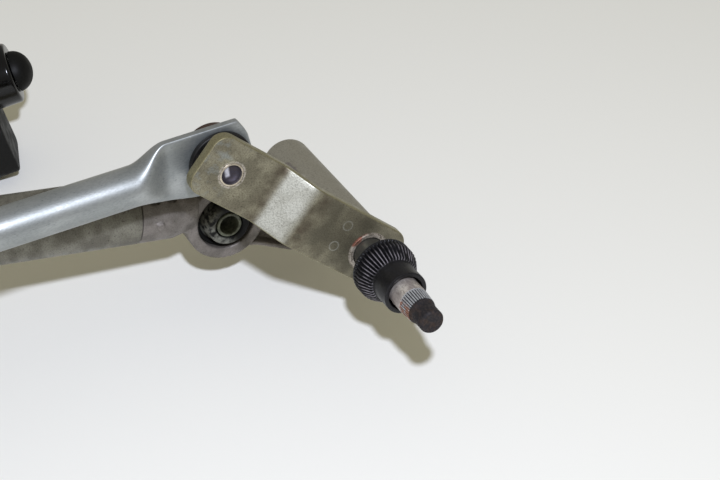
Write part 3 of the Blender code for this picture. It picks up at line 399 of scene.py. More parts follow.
def column(name: str, radius: float, low: float, high: float, centre: tuple = (0.0, 0.0),
           around: int = 72) -> bpy.types.Mesh:
    """Plain cylinder between two heights, for joining and cutting."""
    return turned(name, np.array([(radius, high), (radius, low)]), around, centre=centre)


def arc(centre: tuple, radius: float, start: float, end: float, count: int) -> np.ndarray:
    """Points of an arc between two angles in degrees."""
    angle = np.radians(np.linspace(start, end, count))
    return np.stack([centre[0] + radius * np.cos(angle),
                     centre[1] + radius * np.sin(angle)], axis=1)


def ring(name: str, inner: float, outer: float, low: float, high: float, edge: float,
         steps: int = 3, around: int = 72) -> bpy.types.Mesh:
    """Plain ring between two radii and two heights, with rounded edges."""
    corners = [(inner, high), (outer, high), (outer, low), (inner, low)]
    return turned(name, rounded(corners, edge, steps, closed=True), around, ring=True)


def temporary(mesh: bpy.types.Mesh) -> bpy.types.Object:
    """Object that carries a mesh while its modifiers are worked out."""
    obj = bpy.data.objects.new(mesh.name + "_work", mesh)
    bpy.context.scene.collection.objects.link(obj)
    return obj


def worked(obj: bpy.types.Object, name: str) -> bpy.types.Mesh:
    """Mesh of an object after its modifiers; the object goes."""
    bpy.context.view_layer.update()
    graph = bpy.context.evaluated_depsgraph_get()
    mesh = bpy.data.meshes.new_from_object(obj.evaluated_get(graph))
    mesh.name = name
    bpy.data.objects.remove(obj, do_unlink=True)
    return mesh


def combined(name: str, body: bpy.types.Mesh, joins: tuple = (), cuts: tuple = (),
             voxel: float = 0.0, smooth: int = 0) -> bpy.types.Mesh:
    """Joins and cuts closed meshes, and rounds the result like a casting if asked.

    Args:
        name: Name of the new mesh.
        body: Mesh to start from.
        joins: Meshes to add.
        cuts: Meshes to take away, after the joins.
        voxel: Edge of the remeshed skin's quads, or 0 to keep the edges sharp.
        smooth: Rounds of smoothing after the remesh, which make its fillets.

    Returns:
        The new mesh.
    """
    obj = temporary(body)
    helpers = []
    for tools, operation in ((joins, "UNION"), (cuts, "DIFFERENCE")):
        for tool in tools:
            helper = temporary(tool)
            helpers.append(helper)
            modifier = obj.modifiers.new(operation.title(), "BOOLEAN")
            modifier.operation = operation
            modifier.solver = "EXACT"
            modifier.object = helper
    if voxel > 0.0:
        remesh = obj.modifiers.new("Skin", "REMESH")
        remesh.mode = "VOXEL"
        remesh.voxel_size = voxel
        remesh.use_smooth_shade = True
        relax = obj.modifiers.new("Fillets", "SMOOTH")
        relax.factor = 0.5
        relax.iterations = smooth
    mesh = worked(obj, name)
    for helper in helpers:
        bpy.data.objects.remove(helper, do_unlink=True)
    return mesh


def add_piece(name: str, mesh: bpy.types.Mesh, place: Place, finish: "Finish", slot: Slot,
              node: str, sharp: float = 40.0) -> bpy.types.Object:
    """Put a finished mesh into the scene as a piece.

    Args:
        name: Name of the piece.
        mesh: Its mesh in local millimetres.
        place: Its local frame.
        finish: Its surface.
        slot: The record's slot for its finish; not used.
        node: CAD node that it stands for, and whose body it rides on.
        sharp: Angle in degrees past which an edge stays sharp.

    Returns:
        The object, at the origin, with its local place kept in a vertex attribute.
    """
    co = np.zeros(len(mesh.vertices) * 3, np.float32)
    mesh.vertices.foreach_get("co", co)
    kept = mesh.attributes.new(PLACE, "FLOAT_VECTOR", "POINT")
    kept.data.foreach_set("vector", co)
    mesh.transform(place.matrix())
    if place.mirror:
        mesh.flip_normals()
    mesh.shade_smooth()
    mesh.set_sharp_from_angle(angle=math.radians(sharp))
    mesh.materials.clear()
    mesh.materials.append(finish.material())
    obj = bpy.data.objects.new(name, mesh)
    bpy.context.scene.collection.objects.link(obj)
    body = frame["nodes"][node]["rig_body"]
    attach(obj, body)
    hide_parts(node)
    LOG.info("%s: %d faces on %s", name, len(mesh.polygons), body)
    return obj


def linear(colour: str) -> tuple:
    """Linear RGBA of an sRGB hex colour."""
    values = [int(colour[i:i + 2], 16) / 255.0 for i in (1, 3, 5)]
    light = [v / 12.92 if v <= 0.04045 else ((v + 0.055) / 1.055) ** 2.4 for v in values]
    return (*light, 1.0)


def add_node(tree: bpy.types.NodeTree, kind: str, inputs: dict | None = None,
             **properties: object) -> bpy.types.Node:
    """Add a shader node.

    Args:
        tree: The material's node tree.
        kind: The node's type.
        inputs: Socket name or number to its value, or to the output that feeds it.
        **properties: The node's own settings.

    Returns:
        The node.
    """
    node = tree.nodes.new(kind)
    for key, value in properties.items():
        setattr(node, key, value)
    for socket, value in (inputs or {}).items():
        if isinstance(value, bpy.types.NodeSocket):
            tree.links.new(value, node.inputs[socket])
        else:
            node.inputs[socket].default_value = value
    return node


@dataclass(frozen=True)
class Field:
    """Value in a shader tree that can be added, multiplied and cut to a mask."""

    tree: bpy.types.NodeTree
    socket: bpy.types.NodeSocket

    def math(self, operation: str, other: "Field | float" = 0.0) -> "Field":
        """Math node on this value and another value or number."""
        second = other.socket if isinstance(other, Field) else other
        node = add_node(self.tree, "ShaderNodeMath", {0: self.socket, 1: second},
                        operation=operation)
        return Field(self.tree, node.outputs["Value"])

    def __add__(self, other: "Field | float") -> "Field":
        """Sum with another value or number."""
        return self.math("ADD", other)

    def __mul__(self, other: "Field | float") -> "Field":
        """Product with another value or number."""
        return self.math("MULTIPLY", other)

    def between(self, low: float, high: float) -> "Field":
        """Mask that rises smoothly from 0 at low to 1 at high, or falls if high < low."""
        node = add_node(self.tree, "ShaderNodeMapRange",
                        {"Value": self.socket, "From Min": low, "From Max": high},
                        interpolation_type="SMOOTHSTEP")
        return Field(self.tree, node.outputs["Result"])


Paint = str | bpy.types.NodeSocket


class Canvas:
    """Colour and roughness of one material while its layers are laid, in mm.

    A paint is a hex colour or the socket that carries one.
    """

    def __init__(self, tree: bpy.types.NodeTree, stretch: tuple) -> None:
        """Read the piece's place, plain and stretched for patterns."""
        self.tree = tree
        self.place = add_node(tree, "ShaderNodeAttribute",
                              attribute_name=PLACE).outputs["Vector"]
        self.pattern = self.vector("MULTIPLY", self.place, stretch)
        self.colour: bpy.types.NodeSocket | None = None
        self.rough: Field | None = None

    def vector(self, operation: str, first: bpy.types.NodeSocket,
               second: tuple = (0.0, 0.0, 0.0), output: str = "Vector"
               ) -> bpy.types.NodeSocket:
        """Vector math node on a socket and a constant."""
        return add_node(self.tree, "ShaderNodeVectorMath", {0: first, 1: second},
                        operation=operation).outputs[output]

    def along(self, x: float, y: float, z: float) -> Field:
        """Distance from the origin along a direction."""
        return Field(self.tree, self.vector("DOT_PRODUCT", self.place, (x, y, z), "Value"))

    def reach(self, centre: tuple = (0.0, 0.0), scale: tuple = (1.0, 1.0),
              place: bpy.types.NodeSocket | None = None) -> Field:
        """Distance in plan from a centre, with each axis scaled."""
        apart = self.vector("SUBTRACT", place or self.place, (*centre, 0.0))
        flat = self.vector("MULTIPLY", apart, (*scale, 0.0))
        return Field(self.tree, self.vector("LENGTH", flat, output="Value"))

    def waves(self, scale: float, detail: float, place: bpy.types.NodeSocket) -> Field:
        """Plain noise of a scale per mm."""
        return Field(self.tree, add_node(self.tree, "ShaderNodeTexNoise", {
            "Vector": place, "Scale": scale, "Detail": detail}).outputs["Fac"])

    def clouds(self, size_mm: float, detail: float, low: float, high: float) -> Field:
        """Mask from 0 to 1 where a noise of a given size in mm runs from low to high."""
        return self.waves(1.0 / size_mm, detail, self.pattern).between(low, high)

    def blend(self, mask: Field, first: Paint, second: Paint) -> bpy.types.NodeSocket:
        """Colour from a first paint to a second one, on the mix node's colour sockets."""
        first, second = (linear(part) if isinstance(part, str) else part
                         for part in (first, second))
        inputs = {"Factor": mask.socket, MIX_FIRST: first, MIX_SECOND: second}
        return add_node(self.tree, "ShaderNodeMix", inputs,
                        data_type="RGBA").outputs[MIX_RESULT]

    def lay(self, paint: Paint, mask: Field) -> None:
        """Lay a paint where a mask is 1."""
        self.colour = self.blend(mask, self.colour, paint)


@dataclass(frozen=True)
class Finish:
    """Surface of one real material, read in the piece's own millimetres.

    The colour goes from base to patch in soft clouds, and towards stain in small spots
    and a fine mottle, by the shares spotting and mottle. Spots lie where their noise runs
    from spot_low to spot_high. The roughness follows the clouds, the bump is a fine grain,
    and stretch scales the place along each axis before any pattern is read.
    """

    name: str
    base: str
    patch: str
    stain: str
    metallic: float = 0.0
    rough_low: float = 0.4
    rough_high: float = 0.5
    cloud_mm: float = 8.0
    spot_mm: float = 1.2
    spot_low: float = 0.60
    spot_high: float = 0.72
    spotting: float = 0.6
    mottle_mm: float = 0.7
    mottle: float = 0.3
    grain_mm: float = 0.4
    grain_depth_mm: float = 0.02
    specular: float = 0.5
    stretch: tuple = (1.0, 1.0, 1.0)

    def material(self) -> bpy.types.Material:
        """The finish's material, built once and then shared."""
        known = bpy.data.materials.get(self.name)
        if known is not None:
            return known
        material = bpy.data.materials.new(self.name)
        material.use_nodes = True
        tree = material.node_tree
        shader = tree.nodes["Principled BSDF"]
        canvas = Canvas(tree, self.stretch)
        cloud = canvas.clouds(self.cloud_mm, 4.0, 0.35, 0.65)
        canvas.colour = canvas.blend(cloud, self.base, self.patch)
        spots = canvas.clouds(self.spot_mm, 3.0, self.spot_low, self.spot_high)
        canvas.lay(self.stain, spots * self.spotting)
        canvas.rough = Field(tree, add_node(tree, "ShaderNodeMapRange", {
            "Value": cloud.socket, "To Min": self.rough_low,
            "To Max": self.rough_high}).outputs["Result"])
        self.marks(canvas)
        canvas.lay(self.stain, canvas.clouds(self.mottle_mm, 4.0, 0.40, 0.66) * self.mottle)
        grain = canvas.waves(1.0 / self.grain_mm, 3.0, canvas.pattern)
        bump = add_node(tree, "ShaderNodeBump", {
            "Height": grain.socket, "Strength": 1.0, "Distance": self.grain_depth_mm * MM})
        shader.inputs["Metallic"].default_value = self.metallic
        shader.inputs["Specular IOR Level"].default_value = self.specular
        tree.links.new(canvas.colour, shader.inputs["Base Color"])
        tree.links.new(canvas.rough.socket, shader.inputs["Roughness"])
        tree.links.new(bump.outputs["Normal"], shader.inputs["Normal"])
        return material

    def marks(self, canvas: Canvas) -> None:
        """Zones and marks of the piece's own; a plain finish has none."""


@dataclass(frozen=True)
class SpindleFinish(Finish):
    """Turned steel: a black oxide tip, bright serrations with rust and painted shade in their
    grooves, and a stained shaft painted dark as shade behind the collar.
    """

    tip: str = "#29272a"
    tip_warm: str = "#43362f"
    bright: str = "#b9bcc0"
    # groove is painted shade, laid in the tooth grooves by their depth
    groove: str = "#3a3c42"
    rust: str = "#9c603c"
    # shade is painted shade on the shaft, from inside the collar's back down past the lever
    shade: str = "#4b4b45"
    tip_end: float = -7.3
    band_end: float = -12.7
    shade_end: float = -33.5
    crest: float = 4.145
    taper: float = 0.0673
    rust_way: tuple = (-0.99, -0.10, 0.0)

    def marks(self, canvas: Canvas) -> None:
        """Colour by the distance from the tip with painted shade on the shaft behind the
        collar, painted shade in the tooth grooves, and rust on the band's side.
        """
        wave = canvas.waves(1.4, 3.0, canvas.place)
        z = canvas.along(0.0, 0.0, 1.0)
        height = z + wave * 0.9
        # painted shade on the shaft behind the collar
        canvas.lay(self.shade, height.between(self.shade_end + 0.4, self.shade_end - 0.4))
        band = height.between(self.band_end + 0.2, self.band_end + 0.7)
        canvas.lay(self.bright, band)
        # painted shade in the tooth grooves, where the radius falls below the crests
        depth = canvas.reach() + z * self.taper
        canvas.lay(self.groove, depth.between(self.crest - 0.05, self.crest - 0.24) * band)
        lean = canvas.along(*self.rust_way) + wave * 3.0
        rusty = lean.between(4.9, 5.8) * band * canvas.clouds(1.3, 4.0, 0.36, 0.56)
        canvas.lay(self.rust, rusty * 0.8)
        dark = height.between(self.tip_end + 0.2, self.tip_end + 0.7)
        warm = canvas.clouds(2.5, 3.0, 0.45, 0.7)
        canvas.lay(canvas.blend(warm, self.tip, self.tip_warm), dark)
        canvas.rough = canvas.rough + (rusty + dark) * 0.3


@dataclass(frozen=True)
class RodFinish(Finish):
    """Bright zinc, darker and bluer round the ball and a pitch away from it."""

    end: str = "#6f7679"
    end_reach: float = 17.0
    far: float = PITCH

    def marks(self, canvas: Canvas) -> None:
        """Blue-grey round both of the tie rod's holes, with a cloudy border."""
        wave = canvas.waves(0.35, 3.0, canvas.place)
        for x in (0.0, self.far):
            reach = canvas.reach((x, 0.0)) + wave * 6.0
            canvas.lay(self.end, reach.between(self.end_reach, self.end_reach - 6.0) * 0.8)


@dataclass(frozen=True)
class LeverFinish(Finish):
    """Zinc plated and yellow passivated steel, stained, with an olive sheared edge and painted
    light on its bent slope.

    The last four fields are the lever's plan: its middle, half sizes and corner radius.
    """

    edge: str = "#8d8768"
    dark: str = "#4f4538"
    # light is painted light on the bent slope, and also the pale ring round each stamp
    light: str = "#c3c3b8"
    blue: str = "#959c9a"
    hub: str = "#5f5b4c"
    stake: str = "#b4aca0"
    rust: str = "#8a4a35"
    bend_start: float = 29.5
    bend_end: float = 38.6
    stake_radius: float = 7.0
    rust_way: tuple = (0.906, -0.42, 0.0)
    burr_radius: float = 4.9
    dent: tuple = (27.0, 5.9)
    smear: tuple = (61.0, -4.4)
    stamps: tuple = ((12.8, -4.5), (12.8, 3.4))
    stamp_radius: float = 1.6
    middle: float = 27.75
    half_length: float = 38.75
    half_width: float = 10.5
    corner: float = 5.0

    def marks(self, canvas: Canvas) -> None:
        """Painted light on the bent slope, darker bands along both bends, hub marks, burr, and
        an olive edge.
        """
        x = canvas.along(1.0, 0.0, 0.0)
        wave = canvas.clouds(5.0, 5.0, 0.3, 0.7)
        start = self.bend_start
        end = self.bend_end
        hub = x.between(start - 1.0, start - 9.0) * canvas.clouds(11.0, 4.0, 0.35, 0.6)
        canvas.lay(self.hub, hub * 0.75)
        # painted light: the bent slope lighter than the flats on either side
        painted_slope_light = x.between(start - 1.5, start + 2.0) * x.between(end + 1.0, end - 1.0)
        canvas.lay(self.light, painted_slope_light * 0.8)
        near = x.between(end - 0.5, end + 1.0) * x.between(end + 6.5, end + 1.5)
        far = x.between(start - 8.0, start - 3.5) * x.between(start + 0.5, start - 1.5)
        canvas.lay(self.dark, (near + far) * (wave * 0.85))
        blue = canvas.clouds(3.0, 4.0, 0.52, 0.68) * x.between(50.0, 62.0)
        canvas.lay(self.blue, blue * 0.35)
        radius = self.stamp_radius
        for stamp in self.stamps:
            ring_reach = canvas.reach(stamp)
            line = (ring_reach.between(radius - 0.35, radius - 0.05)
                    * ring_reach.between(radius + 0.35, radius + 0.05))
            canvas.lay(self.light, line * 0.45)
        raised = canvas.along(0.0, 0.0, 1.0).between(level(-1.0), level(-0.2))
        staked = canvas.reach().between(self.stake_radius + 0.1,
                                        self.stake_radius - 0.15) * raised
        canvas.lay(self.stake, staked)
        lean = canvas.along(*self.rust_way) + wave * 2.5
        canvas.lay(self.rust, lean.between(7.0, 8.2) * staked * 0.85)
        canvas.lay(self.dark, canvas.clouds(1.0, 4.0, 0.50, 0.60) * staked * 0.6)
        dent = canvas.reach(self.dent, (1.0, 1.6))
        canvas.lay(self.hub, dent.between(1.7, 0.9) * 0.7)
        smear = canvas.reach(self.smear, (0.30, 1.0))
        canvas.lay(self.blue, smear.between(1.4, 0.2) * 0.55)
        burr = canvas.reach((LEVER_LENGTH, 0.0)).between(self.burr_radius,
                                                        self.burr_radius - 0.5)
        canvas.lay(self.stake, burr * canvas.clouds(1.1, 4.0, 0.34, 0.52) * 0.9)
        rim = self.inside(canvas)
        canvas.lay(self.edge, rim.between(self.corner - 0.45, self.corner - 0.15))

    def inside(self, canvas: Canvas) -> Field:
        """Distance from the plan's inner rectangle, which is the corner radius at the edge."""
        apart = canvas.vector("SUBTRACT", canvas.place, (self.middle, 0.0, 0.0))
        inner = (self.half_length - self.corner, self.half_width - self.corner, 0.0)
        beyond = canvas.vector("SUBTRACT", canvas.vector("ABSOLUTE", apart), inner)
        return canvas.reach(place=canvas.vector("MAXIMUM", beyond))


@dataclass(frozen=True)
class CastFinish(Finish):
    """Die-cast aluminium: grey on the web, sandy where the barrel was blasted."""

    sandy: str = "#969284"
    barrel_reach: float = 9.6

    def marks(self, canvas: Canvas) -> None:
        """Sandy colour round the barrel's axis."""
        barrel = canvas.reach().between(self.barrel_reach + 0.8, self.barrel_reach)
        canvas.lay(self.sandy, barrel)


@dataclass(frozen=True)
class CollarFinish(Finish):
    """Moulded black nylon whose ridges are worn light towards the front of the cone."""

    worn: str = "#8b868d"
    rim: str = "#55555a"
    ridges: int = 48
    cone_back: float = -30.8
    cone_front: float = -26.3
    back: float = -35.0
    rim_reach: float = 9.6

    def marks(self, canvas: Canvas) -> None:
        """Light ridge tips where the cone runs into the sleeve, and a light rear edge."""
        z = canvas.along(0.0, 0.0, 1.0)
        turn = canvas.along(0.0, 1.0, 0.0).math("ARCTAN2", canvas.along(1.0, 0.0, 0.0))
        crest = (turn * float(self.ridges)).math("COSINE").between(-0.35, -0.95)
        zone = (z.between(self.cone_back - 2.6, self.cone_front - 1.2)
                * z.between(self.cone_front + 0.15, self.cone_front - 0.1))
        rub = zone * crest * canvas.clouds(3.5, 3.0, 0.36, 0.60)
        canvas.lay(self.worn, rub * 0.9)
        edge = (z.between(self.back + 0.45, self.back + 0.1)
                * canvas.reach().between(self.rim_reach, self.rim_reach + 0.3))
        canvas.lay(self.rim, edge * 0.6)


@dataclass(frozen=True)
class StudFinish(Finish):
    """Bare headed steel, with painted shade and one painted reflection in the rivet end's
    dimple, and a burred rim.
    """

    # hollow is painted shade inside the dimple; the next colour is a painted reflection down it
    hollow: str = "#4c4850"
    painted_reflection: str = "#dcdce4"
    burr: str = "#c9beab"
    hollow_radius: float = 3.3
    face: float = -53.0
    reflection_x: float = -0.8

    def marks(self, canvas: Canvas) -> None:
        """Painted shade in the rivet end's dimple with one painted reflection down it, inside a
        pale burr.
        """
        z = canvas.along(0.0, 0.0, 1.0)
        reach = canvas.reach()
        radius = self.hollow_radius
        inside = (reach.between(radius + 0.15, radius - 0.1)
                  * z.between(self.face - 2.3, self.face - 2.1))
        rim = (reach.between(radius + 1.2, radius + 0.6)
               * z.between(self.face - 0.3, self.face - 0.1))
        canvas.lay(self.burr, rim)
        # painted shade inside the dimple
        canvas.lay(self.hollow, inside)
        # painted reflection: one light line down the dimple's upper side
        strip = canvas.reach((self.reflection_x, 0.0), (1.0, 0.0)).between(1.1, 0.3)
        upper = canvas.along(0.0, 1.0, 0.0).between(-1.9, -0.9)
        canvas.lay(self.painted_reflection, strip * inside * upper)
        canvas.rough = canvas.rough + inside * 0.3


@dataclass(frozen=True)
class CupFinish(Finish):
    """Moulded black acetal, brown with rusty grease behind the rod."""

    grease: str = "#3f2d26"
    grease_front: float = -66.6

    def marks(self, canvas: Canvas) -> None:
        """Brown on the cup's rear half."""
        z = canvas.along(0.0, 0.0, 1.0)
        canvas.lay(self.grease, z.between(self.grease_front + 0.5, self.grease_front))


@dataclass(frozen=True)
class DustyRubber(Finish):
    """Black mount rubber whose hub keeps dust on the side that nothing wipes."""

    dust: str = "#7d7d75"
    inner: float = 4.6
    outer: float = 8.6
    way: tuple = (-0.95, -0.30, 0.0)

    def marks(self, canvas: Canvas) -> None:
        """Dusty crescent on the hub."""
        reach = canvas.reach()
        hub = (reach.between(self.outer, self.outer - 0.8)
               * reach.between(self.inner, self.inner + 0.6))
        side = canvas.along(*self.way).between(-1.5, 4.5)
        canvas.lay(self.dust, hub * side * canvas.clouds(1.8, 4.0, 0.35, 0.6) * 0.85)


# Cold-drawn steel, ground at the journal: pinkish grey with dark stains, dull under dirt
SPINDLE_STEEL = SpindleFinish("turned_spindle_steel", "#dad3cb", "#aca39f", "#5a504c",
                              metallic=0.55, rough_low=0.34, rough_high=0.50, cloud_mm=3.0,
                              spot_mm=1.1, spot_low=0.56, spot_high=0.68, grain_mm=0.35,
                              grain_depth_mm=0.03, stretch=(1.0, 1.0, 0.6))
# Blanked steel, zinc plated, yellow passivated: olive-grey clouds, fine dark pores
LEVER_ZINC = LeverFinish("passivated_zinc_steel", "#8d8873", "#736e5c", "#3a3226",
                         metallic=0.60, rough_low=0.36, rough_high=0.55, cloud_mm=6.0,
                         spot_mm=0.8, spot_low=0.62, spot_high=0.74, mottle_mm=0.45,
                         mottle=0.36, grain_depth_mm=0.04)
# Welded steel tube, bright zinc plated: cool grey, with a soft lengthwise gloss
ROD_ZINC = RodFinish("bright_zinc_tube", "#aaadac", "#969a99", "#5c6062", metallic=0.70,
                     rough_low=0.34, rough_high=0.45, cloud_mm=10.0, spot_mm=0.7,
                     spot_low=0.64, spot_high=0.74, spotting=0.5, mottle_mm=0.5, mottle=0.18,
                     grain_mm=0.5, stretch=(0.5, 1.0, 1.0))
# Drawn frame tube, dulled by handling: grey with dark handling marks
FRAME_STEEL = Finish("drawn_frame_tube", "#807e73", "#6a675d", "#302c25", metallic=0.55,
                     rough_low=0.40, rough_high=0.56, cloud_mm=7.0, spot_mm=0.9,
                     spot_low=0.61, spot_high=0.73, mottle_mm=0.5, grain_depth_mm=0.04,
                     stretch=(1.3, 0.8, 0.8))
# Pressure die-cast aluminium: dull, grainy, darker where it is oiled
CAST_ALUMINIUM = CastFinish("die_cast_aluminium", "#7f7974", "#6a655f", "#302b27",
                            metallic=0.40, rough_low=0.45, rough_high=0.62, cloud_mm=6.0,
                            spot_mm=1.0, spot_low=0.61, spot_high=0.73, mottle_mm=0.45,
                            mottle=0.24, grain_depth_mm=0.06)
# Sand-cast aluminium: the same metal with a coarser skin
CAST_BRACKET = Finish("sand_cast_aluminium", "#7f7974", "#6a655f", "#302b27", metallic=0.40,
                      rough_low=0.45, rough_high=0.62, cloud_mm=9.0, spot_mm=1.3,
                      mottle_mm=0.8, mottle=0.5, grain_mm=0.6, grain_depth_mm=0.08)
# Headed stud steel, bare and oily: dark grey, with painted shade and a painted reflection in
# its rivet end's dimple
STUD_STEEL = StudFinish("headed_stud_steel", "#8d878d", "#aaa6a2", "#4c4038", metallic=0.85,
                        rough_low=0.25, rough_high=0.42, cloud_mm=2.5, spot_mm=0.7,
                        mottle=0.25)
# Zinc plated screws, washers and crank: yellowed and a little dirty
HARDWARE_ZINC = Finish("zinc_plated_hardware", "#a8aa9a", "#94967f", "#4a4436",
                       metallic=0.8, rough_low=0.35, rough_high=0.5, cloud_mm=2.5,
                       spot_mm=0.8, mottle=0.35, grain_depth_mm=0.015)
# Sleeve in the rubber mount: zinc gone dull and greenish, its colour darkened further as
# painted shade from the lever over the eye
SLEEVE_ZINC = Finish("dull_mount_sleeve", "#6c6f5f", "#55584b", "#2c2c24", metallic=0.35,
                     rough_low=0.5, rough_high=0.65, cloud_mm=2.0, spot_mm=0.8, mottle=0.4)
# Injection-moulded nylon: blue-black, slightly glossy
COLLAR_NYLON = CollarFinish("moulded_black_nylon", "#0a0a0c", "#101013", "#1f1e22",
                            rough_low=0.36, rough_high=0.50, cloud_mm=4.0, spot_mm=1.0,
                            spotting=0.4, grain_mm=0.3, grain_depth_mm=0.01,
                            specular=0.35)
# Injection-moulded acetal: plain black and a little duller, with grease on its rear half
CUP_ACETAL = CupFinish("moulded_black_acetal", "#0b0b0b", "#110f0e", "#1e1b19",
                       rough_high=0.55, cloud_mm=4.0, grain_mm=0.3, grain_depth_mm=0.01,
                       specular=0.35)
# Unpigmented nylon bushes: warm ivory
BUSH_NYLON = Finish("natural_nylon", "#cbc5b4", "#beb6a2", "#8f8570", rough_low=0.42,
                    rough_high=0.55, cloud_mm=5.0, spot_mm=1.4, mottle=0.15,
                    grain_depth_mm=0.01)
# Compression-moulded rubber: near black, dusty where nothing rubs it
MOUNT_RUBBER = DustyRubber("moulded_mount_rubber", "#060606", "#0b0b0a", "#141412",
                           rough_low=0.50, rough_high=0.70, cloud_mm=5.0, spot_mm=1.5,
                           specular=0.2)
# The same rubber wiped clean on the shoe: no dust, and a slightly brighter sheen
SHOE_RUBBER = Finish("moulded_shoe_rubber", "#060606", "#0b0b0a", "#141412", rough_low=0.50,
                     rough_high=0.70, cloud_mm=5.0, spot_mm=1.5, specular=0.3)
# Buffer moulded in a polished tool: deep black, with one sharp highlight along its barrel
BUFFER_RUBBER = Finish("glossy_buffer_rubber", "#020202", "#040404", "#080808",
                       rough_low=0.14, rough_high=0.24, cloud_mm=6.0, spot_mm=1.0,
                       spot_low=0.68, spot_high=0.76, mottle=0.15, grain_mm=0.8,
                       grain_depth_mm=0.01, specular=0.4)
# Cap moulded in a blasted tool: matte black, so that its dome shades softly
DOME_RUBBER = Finish("matte_dome_rubber", "#070706", "#0b0b09", "#141411", rough_low=0.5,
                     rough_high=0.65, cloud_mm=4.0, spot_mm=0.9, grain_mm=0.35,
                     grain_depth_mm=0.03, specular=0.18)


@dataclass
class Spindle:
    """Turned shaft with its tip, serrated band, shoulder and tail; sizes in mm."""

    side: Side
    radius: float = 5.0
    shoulder: float = 5.2
    shoulder_level: float = 14.5
    tip_radius: float = 4.0
    tip_length: float = 5.2
    cone_length: float = 2.3
    band_length: float = 5.2
    band_front: float = 4.65
    teeth: int = 36
    tooth_depth: float = 0.35
    dimple: float = 0.35
    groove_level: float = -57.6
    groove_depth: float = 0.6
    end_level: float = -60.6

    def band(self) -> tuple[float, float]:
        """Heights of the serrated band's front and back ends."""
        front = -self.tip_length - self.cone_length
        return front, front - self.band_length

    def serrated(self, angle: np.ndarray, radius: np.ndarray, z: np.ndarray) -> np.ndarray:
        """Radius less a V groove per tooth, which fades out at both ends of the band."""
        front, back = self.band()
        share = ease((z - back) / 0.5) * ease((front + 1.2 - z) / 1.2)
        wave = np.abs(((angle * self.teeth / (2 * np.pi)) % 1.0) * 2.0 - 1.0)
        return radius - self.tooth_depth * share * (1.0 - np.clip(wave * 1.6, 0.0, 1.0))

    def mesh(self) -> bpy.types.Mesh:
        """Turned profile from the dimpled tip to the tail, with the teeth cut in."""
        front, back = self.band()
        tail = level(self.end_level)
        groove = self.radius - self.groove_depth
        upper = level(self.groove_level) + 0.15
        lower = level(self.groove_level) - 1.15
        corners = [(0.15, -self.dimple), (1.9, -0.75 * self.dimple), (2.9, -0.02),
                   (self.tip_radius - 0.45, -0.02), (self.tip_radius, -0.8),
                   (self.tip_radius, -self.tip_length), (self.band_front, front),
                   (self.radius, back), (self.radius, back - 2.0)]
        dense = resampled(rounded(corners, 0.6, 4), 96)
        rest = [(self.radius, level(self.shoulder_level)),
                (self.shoulder, level(self.shoulder_level) - 0.3),
                (self.shoulder, level(-4.0)), (self.radius, level(-4.05)),
                (self.radius, upper), (groove, upper), (groove, lower), (self.radius, lower),
                (self.radius, tail + 1.0), (self.radius - 1.0, tail)]
        return turned("spindle", np.vstack([dense, rest]), self.teeth * 8,
                      shape=self.serrated)

    def build(self) -> None:
        """Add the spindle."""
        name = self.side.label + "_spindle"
        add_piece(name + "_turned", self.mesh(), Place(x=self.side.axis_x), SPINDLE_STEEL,
                  Slot.STEEL, name)


@dataclass
class Collar:
    """Ribbed collar on the spindle before the lever; sizes in mm."""

    side: Side
    back_level: float = 10.0
    rim_radius: float = 10.3
    rim_length: float = 4.2
    cone_length: float = 4.4
    length: float = 17.0
    sleeve_radius: float = 7.25
    bore: float = 5.75
    seat_bore: float = 5.5
    seat_length: float = 4.2
    ridges: int = 48
    ridge_depth: float = 0.9
    smooth_edge: float = 0.8

    def ridged(self, angle: np.ndarray, radius: np.ndarray, z: np.ndarray) -> np.ndarray:
        """Radius less a rounded groove between ridges, on the rim and the cone alone."""
        cone_top = level(self.back_level) + self.rim_length + self.cone_length
        outer = ease((radius - self.sleeve_radius - 0.1) / 0.35)
        rear = ease((z - level(self.back_level) - self.smooth_edge) / 0.4)
        share = outer * rear * ease((cone_top - z) / 0.2)
        wave = 0.5 + 0.5 * np.cos(angle * self.ridges)
        return radius - self.ridge_depth * share * wave ** 1.2

    def mesh(self) -> bpy.types.Mesh:
        """Closed ring profile with the ridges worked in."""
        back = level(self.back_level)
        rim_top = back + self.rim_length
        cone_top = rim_top + self.cone_length
        front = back + self.length
        seat_top = back + self.seat_length
        corners = [(self.bore, front), (self.sleeve_radius, front),
                   (self.sleeve_radius, cone_top), (self.sleeve_radius + 1.0, cone_top - 0.1),
                   (self.rim_radius, rim_top), (self.rim_radius, back),
                   (self.seat_bore, back), (self.seat_bore, seat_top), (self.bore, seat_top)]
        outline = rounded(corners, 0.35, 4, closed=True)
        profile = resampled(np.vstack([outline, outline[:1]]), 120)[:-1]
        return turned("collar", profile, self.ridges * 7, ring=True, shape=self.ridged)

    def build(self) -> None:
        """Add the collar."""
        name = self.side.label + "_ribbed_collar"
        add_piece(name + "_moulded", self.mesh(), Place(x=self.side.axis_x), COLLAR_NYLON,
                  Slot.PLASTIC, name)


